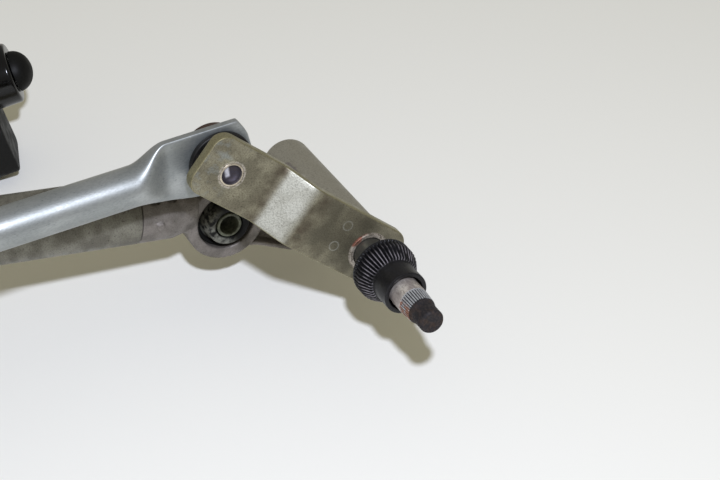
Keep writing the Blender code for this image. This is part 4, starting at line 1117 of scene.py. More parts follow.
@dataclass
class Lever:
    """Flat bar with a double bend, rounded corners and a hole at each end; sizes in mm."""

    side: Side
    length: float = LEVER_LENGTH
    width: float = 21.0
    thickness: float = 4.0
    hub_end: float = 11.0
    stud_end: float = 11.5
    corner: float = 5.0
    step: float = 8.0
    bend_start: float = 29.5
    bend_length: float = 10.0
    bend_radius: float = 5.0
    edge: float = 0.55
    hub_hole: float = 5.5
    stud_hole: float = 4.05
    stake_radius: float = 6.8
    stake_height: float = 0.5

    def path(self) -> np.ndarray:
        """Middle line as (x, z) points, close together near both ends and in the bends."""
        high = level(-self.thickness / 2)
        low = high - self.step
        far = self.length + self.stud_end
        line = rounded([(-self.hub_end, high), (self.bend_start, high),
                        (self.bend_start + self.bend_length, low), (far, low)],
                       self.bend_radius, 10)
        ends = self.corner * (1.0 - np.cos(np.linspace(0.0, np.pi / 2, 14)))
        soft = self.edge * (1.0 - np.cos(np.linspace(0.0, np.pi / 2, 5)))
        reach = np.unique(np.concatenate([ends, soft, np.linspace(0.0, 24.0, 13)]).round(4))
        first = np.stack([-self.hub_end + reach, np.full_like(reach, high)], axis=1)
        last = np.stack([far - reach[::-1], np.full_like(reach, low)], axis=1)
        return np.vstack([first, line[1:-1], last])

    def section(self, half_width: np.ndarray, half_height: np.ndarray
                ) -> tuple[np.ndarray, np.ndarray]:
        """Rounded rectangle at each station.

        Args:
            half_width: Half width per station.
            half_height: Half height per station.

        Returns:
            Two arrays, stations x ring points, with the place across and out. Point k of
            the ring lies over point -k.
        """
        quarter = np.linspace(0.0, np.pi / 2, 5)
        radius = np.minimum(self.edge, half_height)[:, None]
        arc_x = half_width[:, None] - radius + radius * np.cos(quarter)
        arc_y = half_height[:, None] - radius + radius * np.sin(quarter)
        share = np.linspace(1.0, -1.0, 14)[None, 1:-1]
        flat_x = (half_width[:, None] - radius) * share
        flat_y = np.repeat(half_height[:, None], share.shape[1], axis=1)
        middle = np.zeros_like(half_width)[:, None]
        upper_x = np.hstack([half_width[:, None], arc_x, flat_x, -arc_x[:, ::-1]])
        upper_y = np.hstack([middle, arc_y, flat_y, arc_y[:, ::-1]])
        ring_x = np.hstack([upper_x, -half_width[:, None], upper_x[:, :0:-1]])
        ring_y = np.hstack([upper_y, middle, -upper_y[:, :0:-1]])
        return ring_x, ring_y

    def mesh(self) -> bpy.types.Mesh:
        """Rounded rectangle carried along the bent middle line, then staked and drilled.

        The half width follows the plan's corner arcs near the ends, and both half sizes
        shrink along a quarter round at the very ends.
        """
        path = self.path()
        normal = sideways(path)
        ahead = np.minimum(path[:, 0] + self.hub_end, self.length + self.stud_end - path[:, 0])
        side = np.clip(self.corner - ahead, 0.0, self.corner)
        half_width = self.width / 2 - self.corner + np.sqrt(self.corner ** 2 - side ** 2)
        close = np.clip(self.edge - ahead, 0.0, self.edge)
        shrink = self.edge - np.sqrt(self.edge ** 2 - close ** 2)
        across, out = self.section(half_width - shrink, self.thickness / 2 - shrink)
        points = np.stack([path[:, :1] + normal[:, :1] * out, across,
                           path[:, 1:] + normal[:, 1:] * out], axis=2)
        skin = Skin()
        numbers = skin.grid(points, wrap_columns=True)
        skin.zip_up(numbers[0])
        skin.zip_up(numbers[-1])
        body = skin.mesh("lever_bar")
        face = level(0.0)
        top = face + self.stake_height
        stake = turned("lever_stake", rounded(
            [(self.hub_hole - 0.3, top), (self.stake_radius - 0.2, top),
             (self.stake_radius, face), (self.stake_radius, face - 1.0),
             (self.hub_hole - 0.3, face - 1.0)], 0.25, 3, closed=True), 72, ring=True)
        hub = column("lever_hub", self.hub_hole, face - 20.0, face + 5.0)
        stud = column("lever_stud", self.stud_hole, face - 20.0, face + 5.0,
                      (self.length, 0.0))
        return combined("lever", body, (stake,), (hub, stud))

    def build(self) -> None:
        """Add the lever."""
        name = self.side.label + "_lever"
        add_piece(name + "_bent", self.mesh(), Place(x=self.side.axis_x, turn=LEVER_REST),
                  LEVER_ZINC, Slot.PASSIVATED, name, sharp=50.0)


@dataclass
class BallJoints:
    """Riveted ball studs and pressed-on cups of both rods; sizes in mm."""

    ball: float = 6.0
    neck: float = 3.8
    shank: float = 4.0
    collar: float = 5.6
    collar_length: float = 1.1
    dimple: float = 3.3
    dimple_depth: float = 2.0
    button: float = 5.3
    button_end: float = 12.6
    rear_rim: float = 9.8
    rear_rim_front: float = -2.2
    rear_rim_back: float = -6.0
    cup: float = 8.2
    cup_wall: float = 2.0
    flange: float = 10.5
    flange_length: float = 2.0
    cup_straight: float = 5.2
    flat: float = 3.0
    lever_thickness: float = 4.0
    crank_thickness: float = 4.5

    def ball_half(self, centre: float, way: float) -> list:
        """Ball's profile from its neck to its far end, as (radius, z) points."""
        turn = np.linspace(math.asin(self.neck / self.ball), math.radians(160.0), 26)
        return list(zip(self.ball * np.sin(turn), centre + way * self.ball * np.cos(turn)))

    def rivet(self, face: float, way: float) -> list:
        """Rivet end with its dimple, from the axis outwards, as (radius, z) points."""
        return [(0.1, face - way * self.dimple_depth),
                (0.55 * self.dimple, face - way * self.dimple_depth),
                (0.85 * self.dimple, face - way * 0.8 * self.dimple_depth),
                (self.dimple, face - way * 0.35 * self.dimple_depth),
                (self.dimple + 0.1, face + way * 0.05), (self.shank - 0.1, face + way * 0.05),
                (self.shank, face - way * 0.05)]

    def seat(self, face: float, way: float) -> list:
        """Collar that stands on the plate, from the neck to the shank."""
        near = face + way * CLEARANCE
        far = near + way * self.collar_length
        return [(self.neck, far + way * 0.4), (self.neck + 0.3, far),
                (self.collar - 0.25, far), (self.collar, far - way * 0.25),
                (self.collar, near), (self.shank, near)]

    def stud(self, thickness: float, rear: bool, front: bool) -> bpy.types.Mesh:
        """Stud through a plate, with a ball behind it, before it, or both."""
        face = level(PLATE_FACE)
        back = face - thickness
        if front:
            half = self.ball_half(level(FRONT_BALL), -1.0)[::-1]
            points = [(0.1, half[0][1])] + half + self.seat(face, 1.0)
        else:
            points = self.rivet(face, 1.0)
        if rear:
            half = self.ball_half(level(REAR_BALL), 1.0)
            points += self.seat(back, -1.0)[::-1] + half + [(0.1, half[-1][1])]
        else:
            points += self.rivet(back, -1.0)[::-1]
        return turned("ball_stud", np.array(points), 72)

    def cup_mesh(self, centre: float, way: float, button: bool) -> bpy.types.Mesh:
        """Cup round a ball: flange at the mouth, round body, domed end, open cavity.

        Args:
            centre: Height of the ball's centre.
            way: 1 where the mouth looks along z, -1 where it looks back.
            button: True for the tie rod's cups, which have a round button on the dome
                and a rim round the body behind the rod.

        Returns:
            The mesh.
        """
        mouth = self.flat / 2 + CLEARANCE + self.flange_length
        bore = self.ball + CLEARANCE
        turn = np.linspace(math.acos(mouth / bore), math.pi - 0.02, 26)
        cavity = list(zip(bore * np.sin(turn), bore * np.cos(turn)))[::-1]
        end = mouth - self.flange_length - self.cup_straight - self.flat
        dome = -bore - self.cup_wall
        under = mouth - self.flange_length
        front = [cavity[-1], (self.flange, mouth), (self.flange, under), (self.cup, under)]
        rim = [(self.cup, self.rear_rim_front), (self.rear_rim, self.rear_rim_front),
               (self.rear_rim, self.rear_rim_back)] if button else []
        rear = [(self.cup, end), (0.85 * self.cup, end + 0.5 * (dome - end))]
        outer = rounded(front + rim + rear + self.dome_end(end, dome, button), 0.5, 3)
        profile = np.vstack([np.array(cavity), outer[1:]])
        profile[:, 1] = centre + way * profile[:, 1]
        return turned("ball_cup", profile, 72)

    def dome_end(self, end: float, dome: float, button: bool) -> list:
        """Last corners of the dome, down to the axis."""
        if not button:
            return [(0.5 * self.cup, end + 0.85 * (dome - end)), (0.1, dome)]
        return [(self.button + 0.3, end + 0.8 * (dome - end)), (self.button, dome),
                (self.button, -self.button_end + 1.6),
                (0.75 * self.button, -self.button_end + 0.4), (0.1, -self.button_end)]

    def build(self) -> None:
        """Add the three studs and the four cups."""
        right = Place(x=STUD_X, y=STUD_Y)
        left = Place(x=STUD_X - PITCH, y=STUD_Y)
        crank = Place(x=CRANK_X + STUD_X, y=CRANK_Y)
        rear = level(REAR_BALL)
        front = level(FRONT_BALL)
        studs = (("right_ball_stud", right, self.lever_thickness, True, False),
                 ("left_ball_stud", left, self.lever_thickness, True, True),
                 ("crank_ball_stud", crank, self.crank_thickness, False, True))
        for node, place, thickness, has_rear, has_front in studs:
            add_piece(node + "_headed", self.stud(thickness, has_rear, has_front), place,
                      STUD_STEEL, Slot.STEEL, node, sharp=50.0)
        cups = (("tie_rod_right_cup", right, rear, 1.0), ("tie_rod_left_cup", left, rear, 1.0),
                ("drive_rod_lever_cup", left, front, -1.0),
                ("drive_rod_crank_cup", crank, front, -1.0))
        for node, place, centre, way in cups:
            add_piece(node + "_moulded", self.cup_mesh(centre, way, way > 0.0), place,
                      CUP_ACETAL, Slot.PLASTIC, node)


@dataclass
class Rods:
    """Tie rod and drive rod: tubes flattened at both ends round the cups; sizes in mm."""

    radius: float = 6.5
    flat: float = 1.5
    half_width: float = 11.6
    lower_width: float = 10.8
    lower_flat: float = 4.0
    lower_flare: float = 26.0
    flat_length: float = 16.0
    flare_length: float = 12.0
    end: float = 11.5
    end_radius: float = 20.0
    cup_hole: float = 8.5
    around: int = 96
    squareness: float = 0.24
    end_shares: tuple = (0.25, 0.55, 0.8, 0.93, 0.98, 1.0)
    end_heights: tuple = (1.0, 1.0, 1.0, 0.97, 0.85, 0.6)

    def oval(self, angle: np.ndarray, reach: np.ndarray, upper: float
             ) -> tuple[np.ndarray, np.ndarray]:
        """Section of the rod at some distances from the nearer end's ball.

        The point at the angle t is (w |cos t|^p, h |sin t|^p) with the signs of the
        cosine and sine, and p runs from squareness on the flats to 1 on the tube. The flats
        widen early on the upper side, where upper is the sign of the cosine, and
        slowly on the lower side.
        """
        blend = ease((reach - self.flat_length) / self.flare_length)
        late = ease((reach - self.lower_flat) / self.lower_flare)
        width = np.where(np.cos(angle) * upper > 0.0,
                         self.half_width + (self.radius - self.half_width) * blend,
                         self.lower_width + (self.radius - self.lower_width) * late)
        height = self.flat + (self.radius - self.flat) * blend
        power = self.squareness + (1.0 - self.squareness) * blend
        cosine = np.cos(angle)
        sine = np.sin(angle)
        return (width * np.sign(cosine) * np.abs(cosine) ** power,
                height * np.sign(sine) * np.abs(sine) ** power)

    def mesh(self, length: float, upper: float) -> bpy.types.Mesh:
        """Squared ovals lofted along a rod, whose end rows bow along the end's arc."""
        wide = max(self.flat_length + self.flare_length, self.lower_flat + self.lower_flare)
        flare = np.linspace(self.flat_length, wide, 30)
        inner = np.concatenate([np.linspace(2.0, self.flat_length - 1.0, 10), flare])
        middle = np.linspace(inner[-1] + 8.0, length - inner[-1] - 8.0, 10)
        stations = np.concatenate([inner, middle, length - inner[::-1]])
        reach = np.minimum(stations, length - stations)
        angle = np.linspace(0.0, 2 * np.pi, self.around, endpoint=False)[None, :]
        across, out = self.oval(angle, reach[:, None], upper)
        along = np.repeat(stations[:, None], self.around, axis=1)
        close = np.array(self.end_shares)[:, None]
        side, lift = self.oval(angle, np.zeros((len(close), 1)), upper)
        bow = self.end_radius - np.sqrt(np.maximum(self.end_radius ** 2 - side ** 2, 0.0))
        lift = lift * np.array(self.end_heights)[:, None]
        far = length + (self.end - bow) * close
        near = -(self.end - bow) * close
        rows = np.vstack([np.stack([near[::-1], side[::-1], lift[::-1]], axis=2),
                          np.stack([along, across, out], axis=2),
                          np.stack([far, side, lift], axis=2)])
        skin = Skin()
        numbers = skin.grid(rows, wrap_columns=True)
        skin.zip_up(numbers[0])
        skin.zip_up(numbers[-1])
        body = skin.mesh("rod_tube")
        holes = tuple(column("rod_hole", self.cup_hole, -9.0, 9.0, (place, 0.0))
                      for place in (0.0, length))
        return combined("rod", body, cuts=holes)

    def build(self) -> None:
        """Add both rods."""
        tie = Place(x=STUD_X, y=STUD_Y, z=level(REAR_BALL), turn=180.0)
        add_piece("tie_rod_pressed", self.mesh(PITCH, -1.0), tie, ROD_ZINC, Slot.ZINC,
                  "tie_rod")
        across = CRANK_X + PITCH
        rise = CRANK_Y - STUD_Y
        drive = Place(x=STUD_X - PITCH, y=STUD_Y, z=level(FRONT_BALL),
                      turn=math.degrees(math.atan2(rise, across)))
        add_piece("drive_rod_pressed", self.mesh(math.hypot(across, rise), 1.0), drive,
                  ROD_ZINC, Slot.ZINC, "drive_rod")


@dataclass
class BarrelParts:
    """Bushes, washers and circlip of one pivot; sizes in mm."""

    side: Side
    bore: float = 5.3
    bush: float = 6.6
    bush_length: float = 14.0
    front_level: float = -5.9
    rear_level: float = -42.0
    washer: float = 8.5
    washer_level: float = -4.3
    rear_washer_level: float = -56.3
    clip_level: float = -57.6
    clip_inner: float = 4.7
    clip_outer: float = 6.0
    clip_gap: float = 50.0

    def clip(self) -> bpy.types.Mesh:
        """Open ring with rounded ends."""
        half = self.clip_gap / 2
        outline = np.vstack([arc((0.0, 0.0), self.clip_outer, half, 360.0 - half, 49),
                             arc((0.0, 0.0), self.clip_inner, 360.0 - half, half, 49)])
        top = level(self.clip_level)
        return plate("clip", outline, top - 1.0, top, 0.15, 2)

    def build(self) -> None:
        """Add the rings and the clip."""
        place = Place(x=self.side.axis_x)
        rings = (("front_bush", self.bush, self.front_level, self.bush_length, 0.3,
                  BUSH_NYLON, Slot.NATURAL),
                 ("rear_bush", self.bush, self.rear_level, self.bush_length, 0.3,
                  BUSH_NYLON, Slot.NATURAL),
                 ("thrust_washer", self.washer, self.washer_level, 1.0, 0.2, BUSH_NYLON,
                  Slot.NATURAL),
                 ("rear_washer", self.bush, self.rear_washer_level, 1.0, 0.2, HARDWARE_ZINC,
                  Slot.ZINC))
        for label, outer, top, length, edge, finish, slot in rings:
            node = self.side.label + "_" + label
            mesh = ring("ring", self.bore, outer, level(top - length), level(top), edge)
            add_piece(node + "_turned", mesh, place, finish, slot, node)
        node = self.side.label + "_circlip"
        add_piece(node + "_sprung", self.clip(), Place(x=self.side.axis_x, turn=LEVER_REST),
                  STUD_STEEL, Slot.STEEL, node)


@dataclass
class PivotHousing:
    """Cast housing: barrel, recessed web, mount eye and shank with its spigot; in mm.

    Heights are measured from the middle plane of the web.
    """

    side: Side
    barrel: float = 8.8
    bore: float = 6.9
    barrel_front: float = 40.4
    barrel_back: float = -20.5
    barrel_edge: float = 1.6
    eye_hole: float = 10.0
    eye_wall: float = 3.8
    eye_half: float = 7.0
    web_half: float = 5.0
    recess: float = 4.2
    rim: float = 2.2
    foot_x: float = 11.0
    foot_y: float = 19.5
    fillet: float = 3.0
    flash: float = 0.35
    flash_half: float = 0.35
    shank: float = 11.0
    shank_length: float = 20.0
    spigot: float = 9.2
    spigot_length: float = 22.0
    pockets: tuple = ((3.0, 6.5), (9.0, 12.0), (14.5, 20.5))
    pocket_depth: float = 3.0
    pocket_width: float = 6.0
    pocket_tilt: float = 49.0
    mark_back: float = 5.5
    mark_drop: float = 2.2
    mark_size: float = 2.4
    mark_height: float = 1.8
    voxel: float = 0.42

    def web_outline(self, inset: float) -> np.ndarray:
        """Outline of the web from the eye to the barrel, drawn in by an inset."""
        foot = -self.foot_y + inset
        reach = self.eye_hole + self.eye_wall
        points = [(EYE_X - 0.25 * self.eye_hole,
                   EYE_Y + self.eye_hole + 0.5 * self.eye_wall - inset),
                  (0.0, self.barrel - inset), (0.6 * self.barrel - inset, 0.0),
                  (0.35 * self.barrel - inset, foot), (self.foot_x, foot),
                  (EYE_X - self.eye_hole, EYE_Y - reach - 0.95 + inset),
                  (EYE_X, EYE_Y - self.eye_hole - 0.5 * self.eye_wall + inset)]
        return rounded(points, self.fillet, 5, closed=True)

    def web(self) -> bpy.types.Mesh:
        """Web with its flash line at mid thickness and its recess."""
        body = plate("web", self.web_outline(self.flash), -self.web_half, self.web_half)
        line = plate("flash_line", self.web_outline(0.0), -self.flash_half, self.flash_half)
        recess = plate("recess", self.web_outline(self.rim), self.web_half - self.recess,
                       2 * self.web_half)
        return combined("web_recessed", body, (line,), (recess,))

    def barrel_mesh(self) -> bpy.types.Mesh:
        """Barrel with its rounded rear edge."""
        profile = rounded([(0.1, self.barrel_front), (self.barrel, self.barrel_front),
                           (self.barrel, self.barrel_back), (0.1, self.barrel_back)],
                          self.barrel_edge, 6)
        return turned("barrel", profile, 96)

    def shank_parts(self) -> tuple[bpy.types.Mesh, tuple]:
        """Shank with its spigot, and the cutters of its lightening pockets."""
        turn = math.radians(TUBE_SLOPE)
        along = Vector((math.cos(turn), math.sin(turn), 0.0))
        seam = Vector((SEAM_X, SEAM_Y, 0.0))
        profile = np.array([(0.1, self.spigot_length), (self.spigot - 1.0, self.spigot_length),
                            (self.spigot, self.spigot_length - 1.0), (self.spigot, 0.0),
                            (self.shank, 0.0), (self.shank, -0.6 * self.shank_length),
                            (0.8 * self.shank, -self.shank_length),
                            (0.1, -self.shank_length)])
        shank = moved(turned("shank", profile, 96), towards(along, seam))
        tilt = math.radians(self.pocket_tilt)
        lift = Vector((-along.y, along.x, 0.0))
        out = lift * math.sin(tilt) + Vector((0.0, 0.0, math.cos(tilt)))
        turned_box = Matrix((along, out.cross(along), out)).transposed().to_4x4()
        cutters = []
        for start, end in self.pockets:
            centre = seam - along * (start + end) / 2 + out * self.shank
            box = block("pocket", (end - start, self.pocket_width, 2 * self.pocket_depth))
            cutters.append(moved(box, Matrix.Translation(centre) @ turned_box))
        return shank, tuple(cutters)

    def mark(self) -> bpy.types.Mesh:
        """Small raised square of the mould on the front of the shank."""
        middle = (SEAM_X - self.mark_back, SEAM_Y - self.mark_drop, self.shank)
        return moved(block("mark", (self.mark_size, self.mark_size, self.mark_height)),
                     Matrix.Translation(middle))

    def mesh(self) -> bpy.types.Mesh:
        """Joined, bored and pocketed body with cast fillets."""
        eye = (EYE_X, EYE_Y)
        boss = column("boss", self.eye_hole + self.eye_wall, -self.eye_half, self.eye_half,
                      eye, 96)
        shank, pockets = self.shank_parts()
        bore = column("bore", self.bore, -60.0, 60.0)
        hole = column("eye_hole", self.eye_hole, -30.0, 30.0, eye, 96)
        return combined("housing", self.web(), (self.barrel_mesh(), boss, shank, self.mark()),
                        (bore, hole, *pockets), self.voxel, 3)

    def build(self) -> None:
        """Add the housing."""
        name = self.side.label + "_housing"
        add_piece(name + "_cast", self.mesh(),
                  Place(x=self.side.axis_x, z=PLANE, mirror=self.side.hand < 0.0),
                  CAST_ALUMINIUM, Slot.CAST, name, sharp=180.0)


@dataclass
class RubberMount:
    """Rubber grommet in the housing's eye and the steel sleeve in it; sizes in mm."""

    side: Side
    outer: float = 9.7
    bore: float = 4.6
    hub: float = 7.2
    top: float = 9.5
    rim: float = 5.75
    waist: float = 2.75
    edge: float = 1.0
    sleeve: float = 4.3
    sleeve_bore: float = 3.3
    sleeve_half: float = 9.5

    def grommet(self) -> bpy.types.Mesh:
        """Ring with a standing hub, a channel round it and a lip at the eye's edge."""
        half = [(self.bore, self.top), (self.hub, self.top),
                (self.hub + self.edge, self.waist), (self.outer - self.edge, self.rim - 1.2),
                (self.outer, self.rim)]
        corners = half + [(radius, -z) for radius, z in reversed(half)]
        return turned("grommet", rounded(corners, 0.9, 6, closed=True), 96, ring=True)

    def sleeve_mesh(self) -> bpy.types.Mesh:
        """Sleeve with chamfered ends."""
        return ring("sleeve", self.sleeve_bore, self.sleeve, -self.sleeve_half,
                    self.sleeve_half, 0.3)

    def build(self) -> None:
        """Add the grommet and its sleeve."""
        place = Place(x=self.side.axis_x + self.side.hand * EYE_X, y=EYE_Y, z=PLANE)
        name = self.side.label + "_grommet"
        add_piece(name + "_moulded", self.grommet(), place, MOUNT_RUBBER, Slot.RUBBER, name)
        name += "_spacer"
        add_piece(name + "_turned", self.sleeve_mesh(), place, SLEEVE_ZINC, Slot.STEEL, name)


@dataclass
class FrameTube:
    """Bent tube between the housings and the two screws that clamp the bracket; in mm."""

    radius: float = TUBE_RADIUS
    wall: float = 1.5
    bend_radius: float = 60.0
    screw: float = 3.0
    screw_pitch: float = 50.0
    screw_top: float = -76.0
    head: float = 5.8
    head_length: float = 4.2

    def route(self) -> np.ndarray:
        """Middle line in the face frame."""
        cut = CLEARANCE * math.cos(math.radians(TUBE_SLOPE))
        corners = [(-SEAM_X - cut, SEAM_Y), (-TUBE_BEND, TUBE_HIGH),
                   (-PITCH + TUBE_BEND, TUBE_HIGH), (-PITCH + SEAM_X + cut, SEAM_Y)]
        return rounded(corners, self.bend_radius, 16)

    def mesh(self) -> bpy.types.Mesh:
        """Circle carried along the route outside and back inside, with the screw holes."""
        route = self.route()
        normal = sideways(route)
        angle = np.linspace(0.0, 2 * np.pi, 96, endpoint=False)[None, :]
        shells = []
        for radius in (self.radius, self.radius - self.wall):
            flat = route[:, None, :] + normal[:, None, :] * (radius * np.cos(angle))[..., None]
            tall = np.broadcast_to((PLANE + radius * np.sin(angle))[..., None],
                                   (len(route), angle.shape[1], 1))
            shells.append(np.concatenate([flat, tall], axis=2))
        skin = Skin()
        skin.grid(np.vstack([shells[0], shells[1][::-1]]), wrap_rows=True, wrap_columns=True)
        holes = tuple(column("screw_hole", self.screw + CLEARANCE, -120.0, -60.0,
                             (x, TUBE_HIGH)) for x in self.screw_places())
        return combined("frame_tube", skin.mesh("tube"), cuts=holes)

    def screw_places(self) -> tuple[float, float]:
        """Places of the left and right clamp screw along x."""
        return CRANK_X - self.screw_pitch / 2, CRANK_X + self.screw_pitch / 2

    def hexed(self, angle: np.ndarray, radius: np.ndarray, z: np.ndarray) -> np.ndarray:
        """Radius cut to a hexagon, whose side lies at apothem / cos of the angle past it."""
        past = (angle + np.pi / 6) % (np.pi / 3) - np.pi / 6
        side = self.head * math.cos(math.pi / 6) / np.cos(past)
        return np.where(radius > self.screw + 0.6, np.minimum(radius, side), radius)

    def screw_mesh(self) -> bpy.types.Mesh:
        """Screw with a chamfered hexagon head behind the tube."""
        seat = PLANE - self.radius - CLEARANCE
        foot = seat - self.head_length
        profile = np.array([(0.1, self.screw_top), (self.screw - 0.5, self.screw_top),
                            (self.screw, self.screw_top - 0.5), (self.screw, seat),
                            (self.head, seat), (self.head, foot + 0.7),
                            (self.head - 0.9, foot), (2.0, foot), (1.7, foot + 0.3),
                            (0.1, foot + 0.3)])
        return turned("clamp_screw", profile, 144, shape=self.hexed)

    def build(self) -> None:
        """Add the tube and both screws."""
        add_piece("frame_tube_drawn", self.mesh(), Place(), FRAME_STEEL, Slot.CAST,
                  "frame_tube")
        for label, x in zip(("left", "right"), self.screw_places()):
            node = label + "_clamp_screw"
            add_piece(node + "_hexagon", self.screw_mesh(), Place(x=x, y=TUBE_HIGH),
                      HARDWARE_ZINC, Slot.ZINC, node, sharp=25.0)


@dataclass
class MotorBracket:
    """Cast bracket: motor plate, tube saddle, rear arm, end plate and pin; in mm."""

    front: float = -77.0
    thickness: float = 6.0
    leg: float = 40.0
    shoulder: float = 36.0
    corner: float = 6.0
    hole: float = 13.0
    collar_wall: float = 4.0
    collar_height: float = 5.0
    pitch: float = 31.0
    screw_hole: float = 3.5
    ear: float = 8.5
    pad: float = 7.5
    pad_height: float = 3.0
    lip: float = 3.2
    tube: float = TUBE_RADIUS + CLEARANCE
    clamp_hole: float = 3.3
    end_half: float = 9.0
    end_low: float = -20.0
    end_high: float = 30.0
    end_thickness: float = 6.0
    pin: float = 3.0
    pin_length: float = 12.0
    arm_height: float = 14.0
    arm_thickness: float = 8.0
    arm_y: float = 54.0
    arm_route: tuple = ((-198.0, -80.0), (-160.0, -101.0), (-115.0, -157.0),
                        (-90.5, -177.5))
    voxel: float = 0.65

    def outline(self) -> np.ndarray:
        """Front outline: saddle below, shoulders, and the top ear above."""
        bottom = TUBE_HIGH - TUBE_RADIUS - self.lip
        middle = TUBE_HIGH + TUBE_RADIUS + self.lip
        half = [(self.leg, bottom), (self.leg, middle),
                (self.shoulder, CRANK_Y - 0.5 * self.pitch),
                (self.ear, CRANK_Y + self.pitch + self.ear)]
        points = [(CRANK_X + x, y) for x, y in half]
        points += [(CRANK_X - x, y) for x, y in reversed(half)]
        return rounded(points, self.corner, 6, closed=True)

    def arm(self) -> bpy.types.Mesh:
        """Bar along the route, which is drawn as (x, z) and stands up along y."""
        line = rounded(list(self.arm_route), 20.0, 12)
        normal = sideways(line) * self.arm_thickness / 2
        outline = np.vstack([line - normal, (line + normal)[::-1]])
        bar = plate("arm", outline, -self.arm_height / 2, self.arm_height / 2)
        quarter = Matrix.Rotation(math.radians(90.0), 4, "X")
        return moved(bar, Matrix.Translation((0.0, self.arm_y, 0.0)) @ quarter)

    def mesh(self) -> bpy.types.Mesh:
        """All forms joined, then the trough and the holes cut, with cast fillets."""
        back = self.front - self.thickness
        inside = self.front - 0.5 * self.thickness
        body = plate("motor_plate", self.outline(), back, self.front)
        reach = self.leg - 2.0
        half = self.tube + self.lip - 0.5
        saddle = plate("saddle", rounded(
            box_outline(reach, TUBE_HIGH - half, TUBE_HIGH + half, CRANK_X), 2.0, 3,
            closed=True), PLANE, inside)
        motor = (CRANK_X, CRANK_Y)
        collar = column("motor_collar", self.hole + self.collar_wall,
                        back - self.collar_height, inside, motor, 96)
        screws = [(CRANK_X + self.pitch * math.cos(math.radians(angle)),
                   CRANK_Y + self.pitch * math.sin(math.radians(angle)))
                  for angle in (90.0, 210.0, 330.0)]
        pads = [column("pad", self.pad, back - self.pad_height, inside, place)
                for place in screws]
        carrier = towards(BUFFER_AXIS, BUFFER_POINT)
        end = moved(plate("end_plate", rounded(
            box_outline(self.end_half, self.end_low, self.end_high), 3.0, 4, closed=True),
            -self.end_thickness, 0.0), carrier)
        pin = moved(column("pin", self.pin, -0.5 * self.end_thickness, self.pin_length),
                    carrier)
        trough = moved(column("trough", self.tube, -80.0, 80.0, around=96),
                       towards((1.0, 0.0, 0.0), (CRANK_X, TUBE_HIGH, PLANE)))
        cuts = [column("motor_hole", self.hole, -180.0, 0.0, motor, 96)]
        cuts += [column("screw_hole", self.screw_hole, -180.0, 0.0, place) for place in screws]
        cuts += [column("clamp_hole", self.clamp_hole, -180.0, 0.0, (x, TUBE_HIGH))
                 for x in FrameTube().screw_places()]
        return combined("bracket", body, (saddle, collar, *pads, self.arm(), end, pin),
                        (trough, *cuts), self.voxel, 3)

    def build(self) -> None:
        """Add the bracket."""
        add_piece("motor_bracket_cast", self.mesh(), Place(), CAST_BRACKET, Slot.CAST,
                  "motor_bracket", sharp=180.0)


@dataclass
class RearBuffer:
    """Rubber buffer, its domed cap and the shoe at the end of the bracket's arm; in mm."""

    radius: float = 10.8
    length: float = 15.0
    edge: float = 1.2
    bore: float = 3.3
    cap: float = 7.3
    cap_height: float = 6.2
    stem: float = 3.0
    stem_foot: float = 12.3
    plate_half: float = 9.3
    plate_bottom: float = -20.3
    plate_thickness: float = 6.0
    foot_half: float = 11.5
    foot_low: float = -33.0
    foot_high: float = -13.0
    foot_corner: float = 3.0
    foot_back: float = -10.5
    foot_front: float = 4.5

    def body(self) -> bpy.types.Mesh:
        """Barrel of the buffer with a rounded front edge."""
        return ring("buffer", self.bore, self.radius, CLEARANCE, CLEARANCE + self.length,
                    self.edge, 6, 96)

    def dome(self) -> bpy.types.Mesh:
        """Half ellipsoid with a stem."""
        seat = 2 * CLEARANCE + self.length
        turn = np.linspace(0.02, math.pi / 2, 20)
        cap = np.stack([self.cap * np.sin(turn), seat + self.cap_height * np.cos(turn)], 1)
        stem = np.array([(self.stem, seat), (self.stem, self.stem_foot), (0.1, self.stem_foot)])
        return turned("cap", np.vstack([cap, stem]), 96)

    def foot(self) -> bpy.types.Mesh:
        """Shoe with the slot that takes the end plate."""
        corners = box_outline(self.foot_half, self.foot_low, self.foot_high)
        body = plate("shoe", rounded(corners, self.foot_corner, 5, closed=True),
                     self.foot_back, self.foot_front, 1.0, 4)
        top = 2 * self.foot_high - self.plate_bottom
        slot = plate("slot", np.array(box_outline(self.plate_half, self.plate_bottom, top)),
                     -self.plate_thickness - CLEARANCE, CLEARANCE)
        return combined("foot", body, cuts=(slot,))

    def build(self) -> None:
        """Add the three rubber pieces."""
        place = Place(*BUFFER_POINT, axis=BUFFER_AXIS)
        add_piece("rear_buffer_moulded", self.body(), place, BUFFER_RUBBER, Slot.RUBBER,
                  "rear_buffer")
        add_piece("buffer_cap_domed", self.dome(), place, DOME_RUBBER, Slot.RUBBER,
                  "buffer_cap")
        add_piece("rear_foot_moulded", self.foot(), place, SHOE_RUBBER, Slot.RUBBER,
                  "rear_foot")


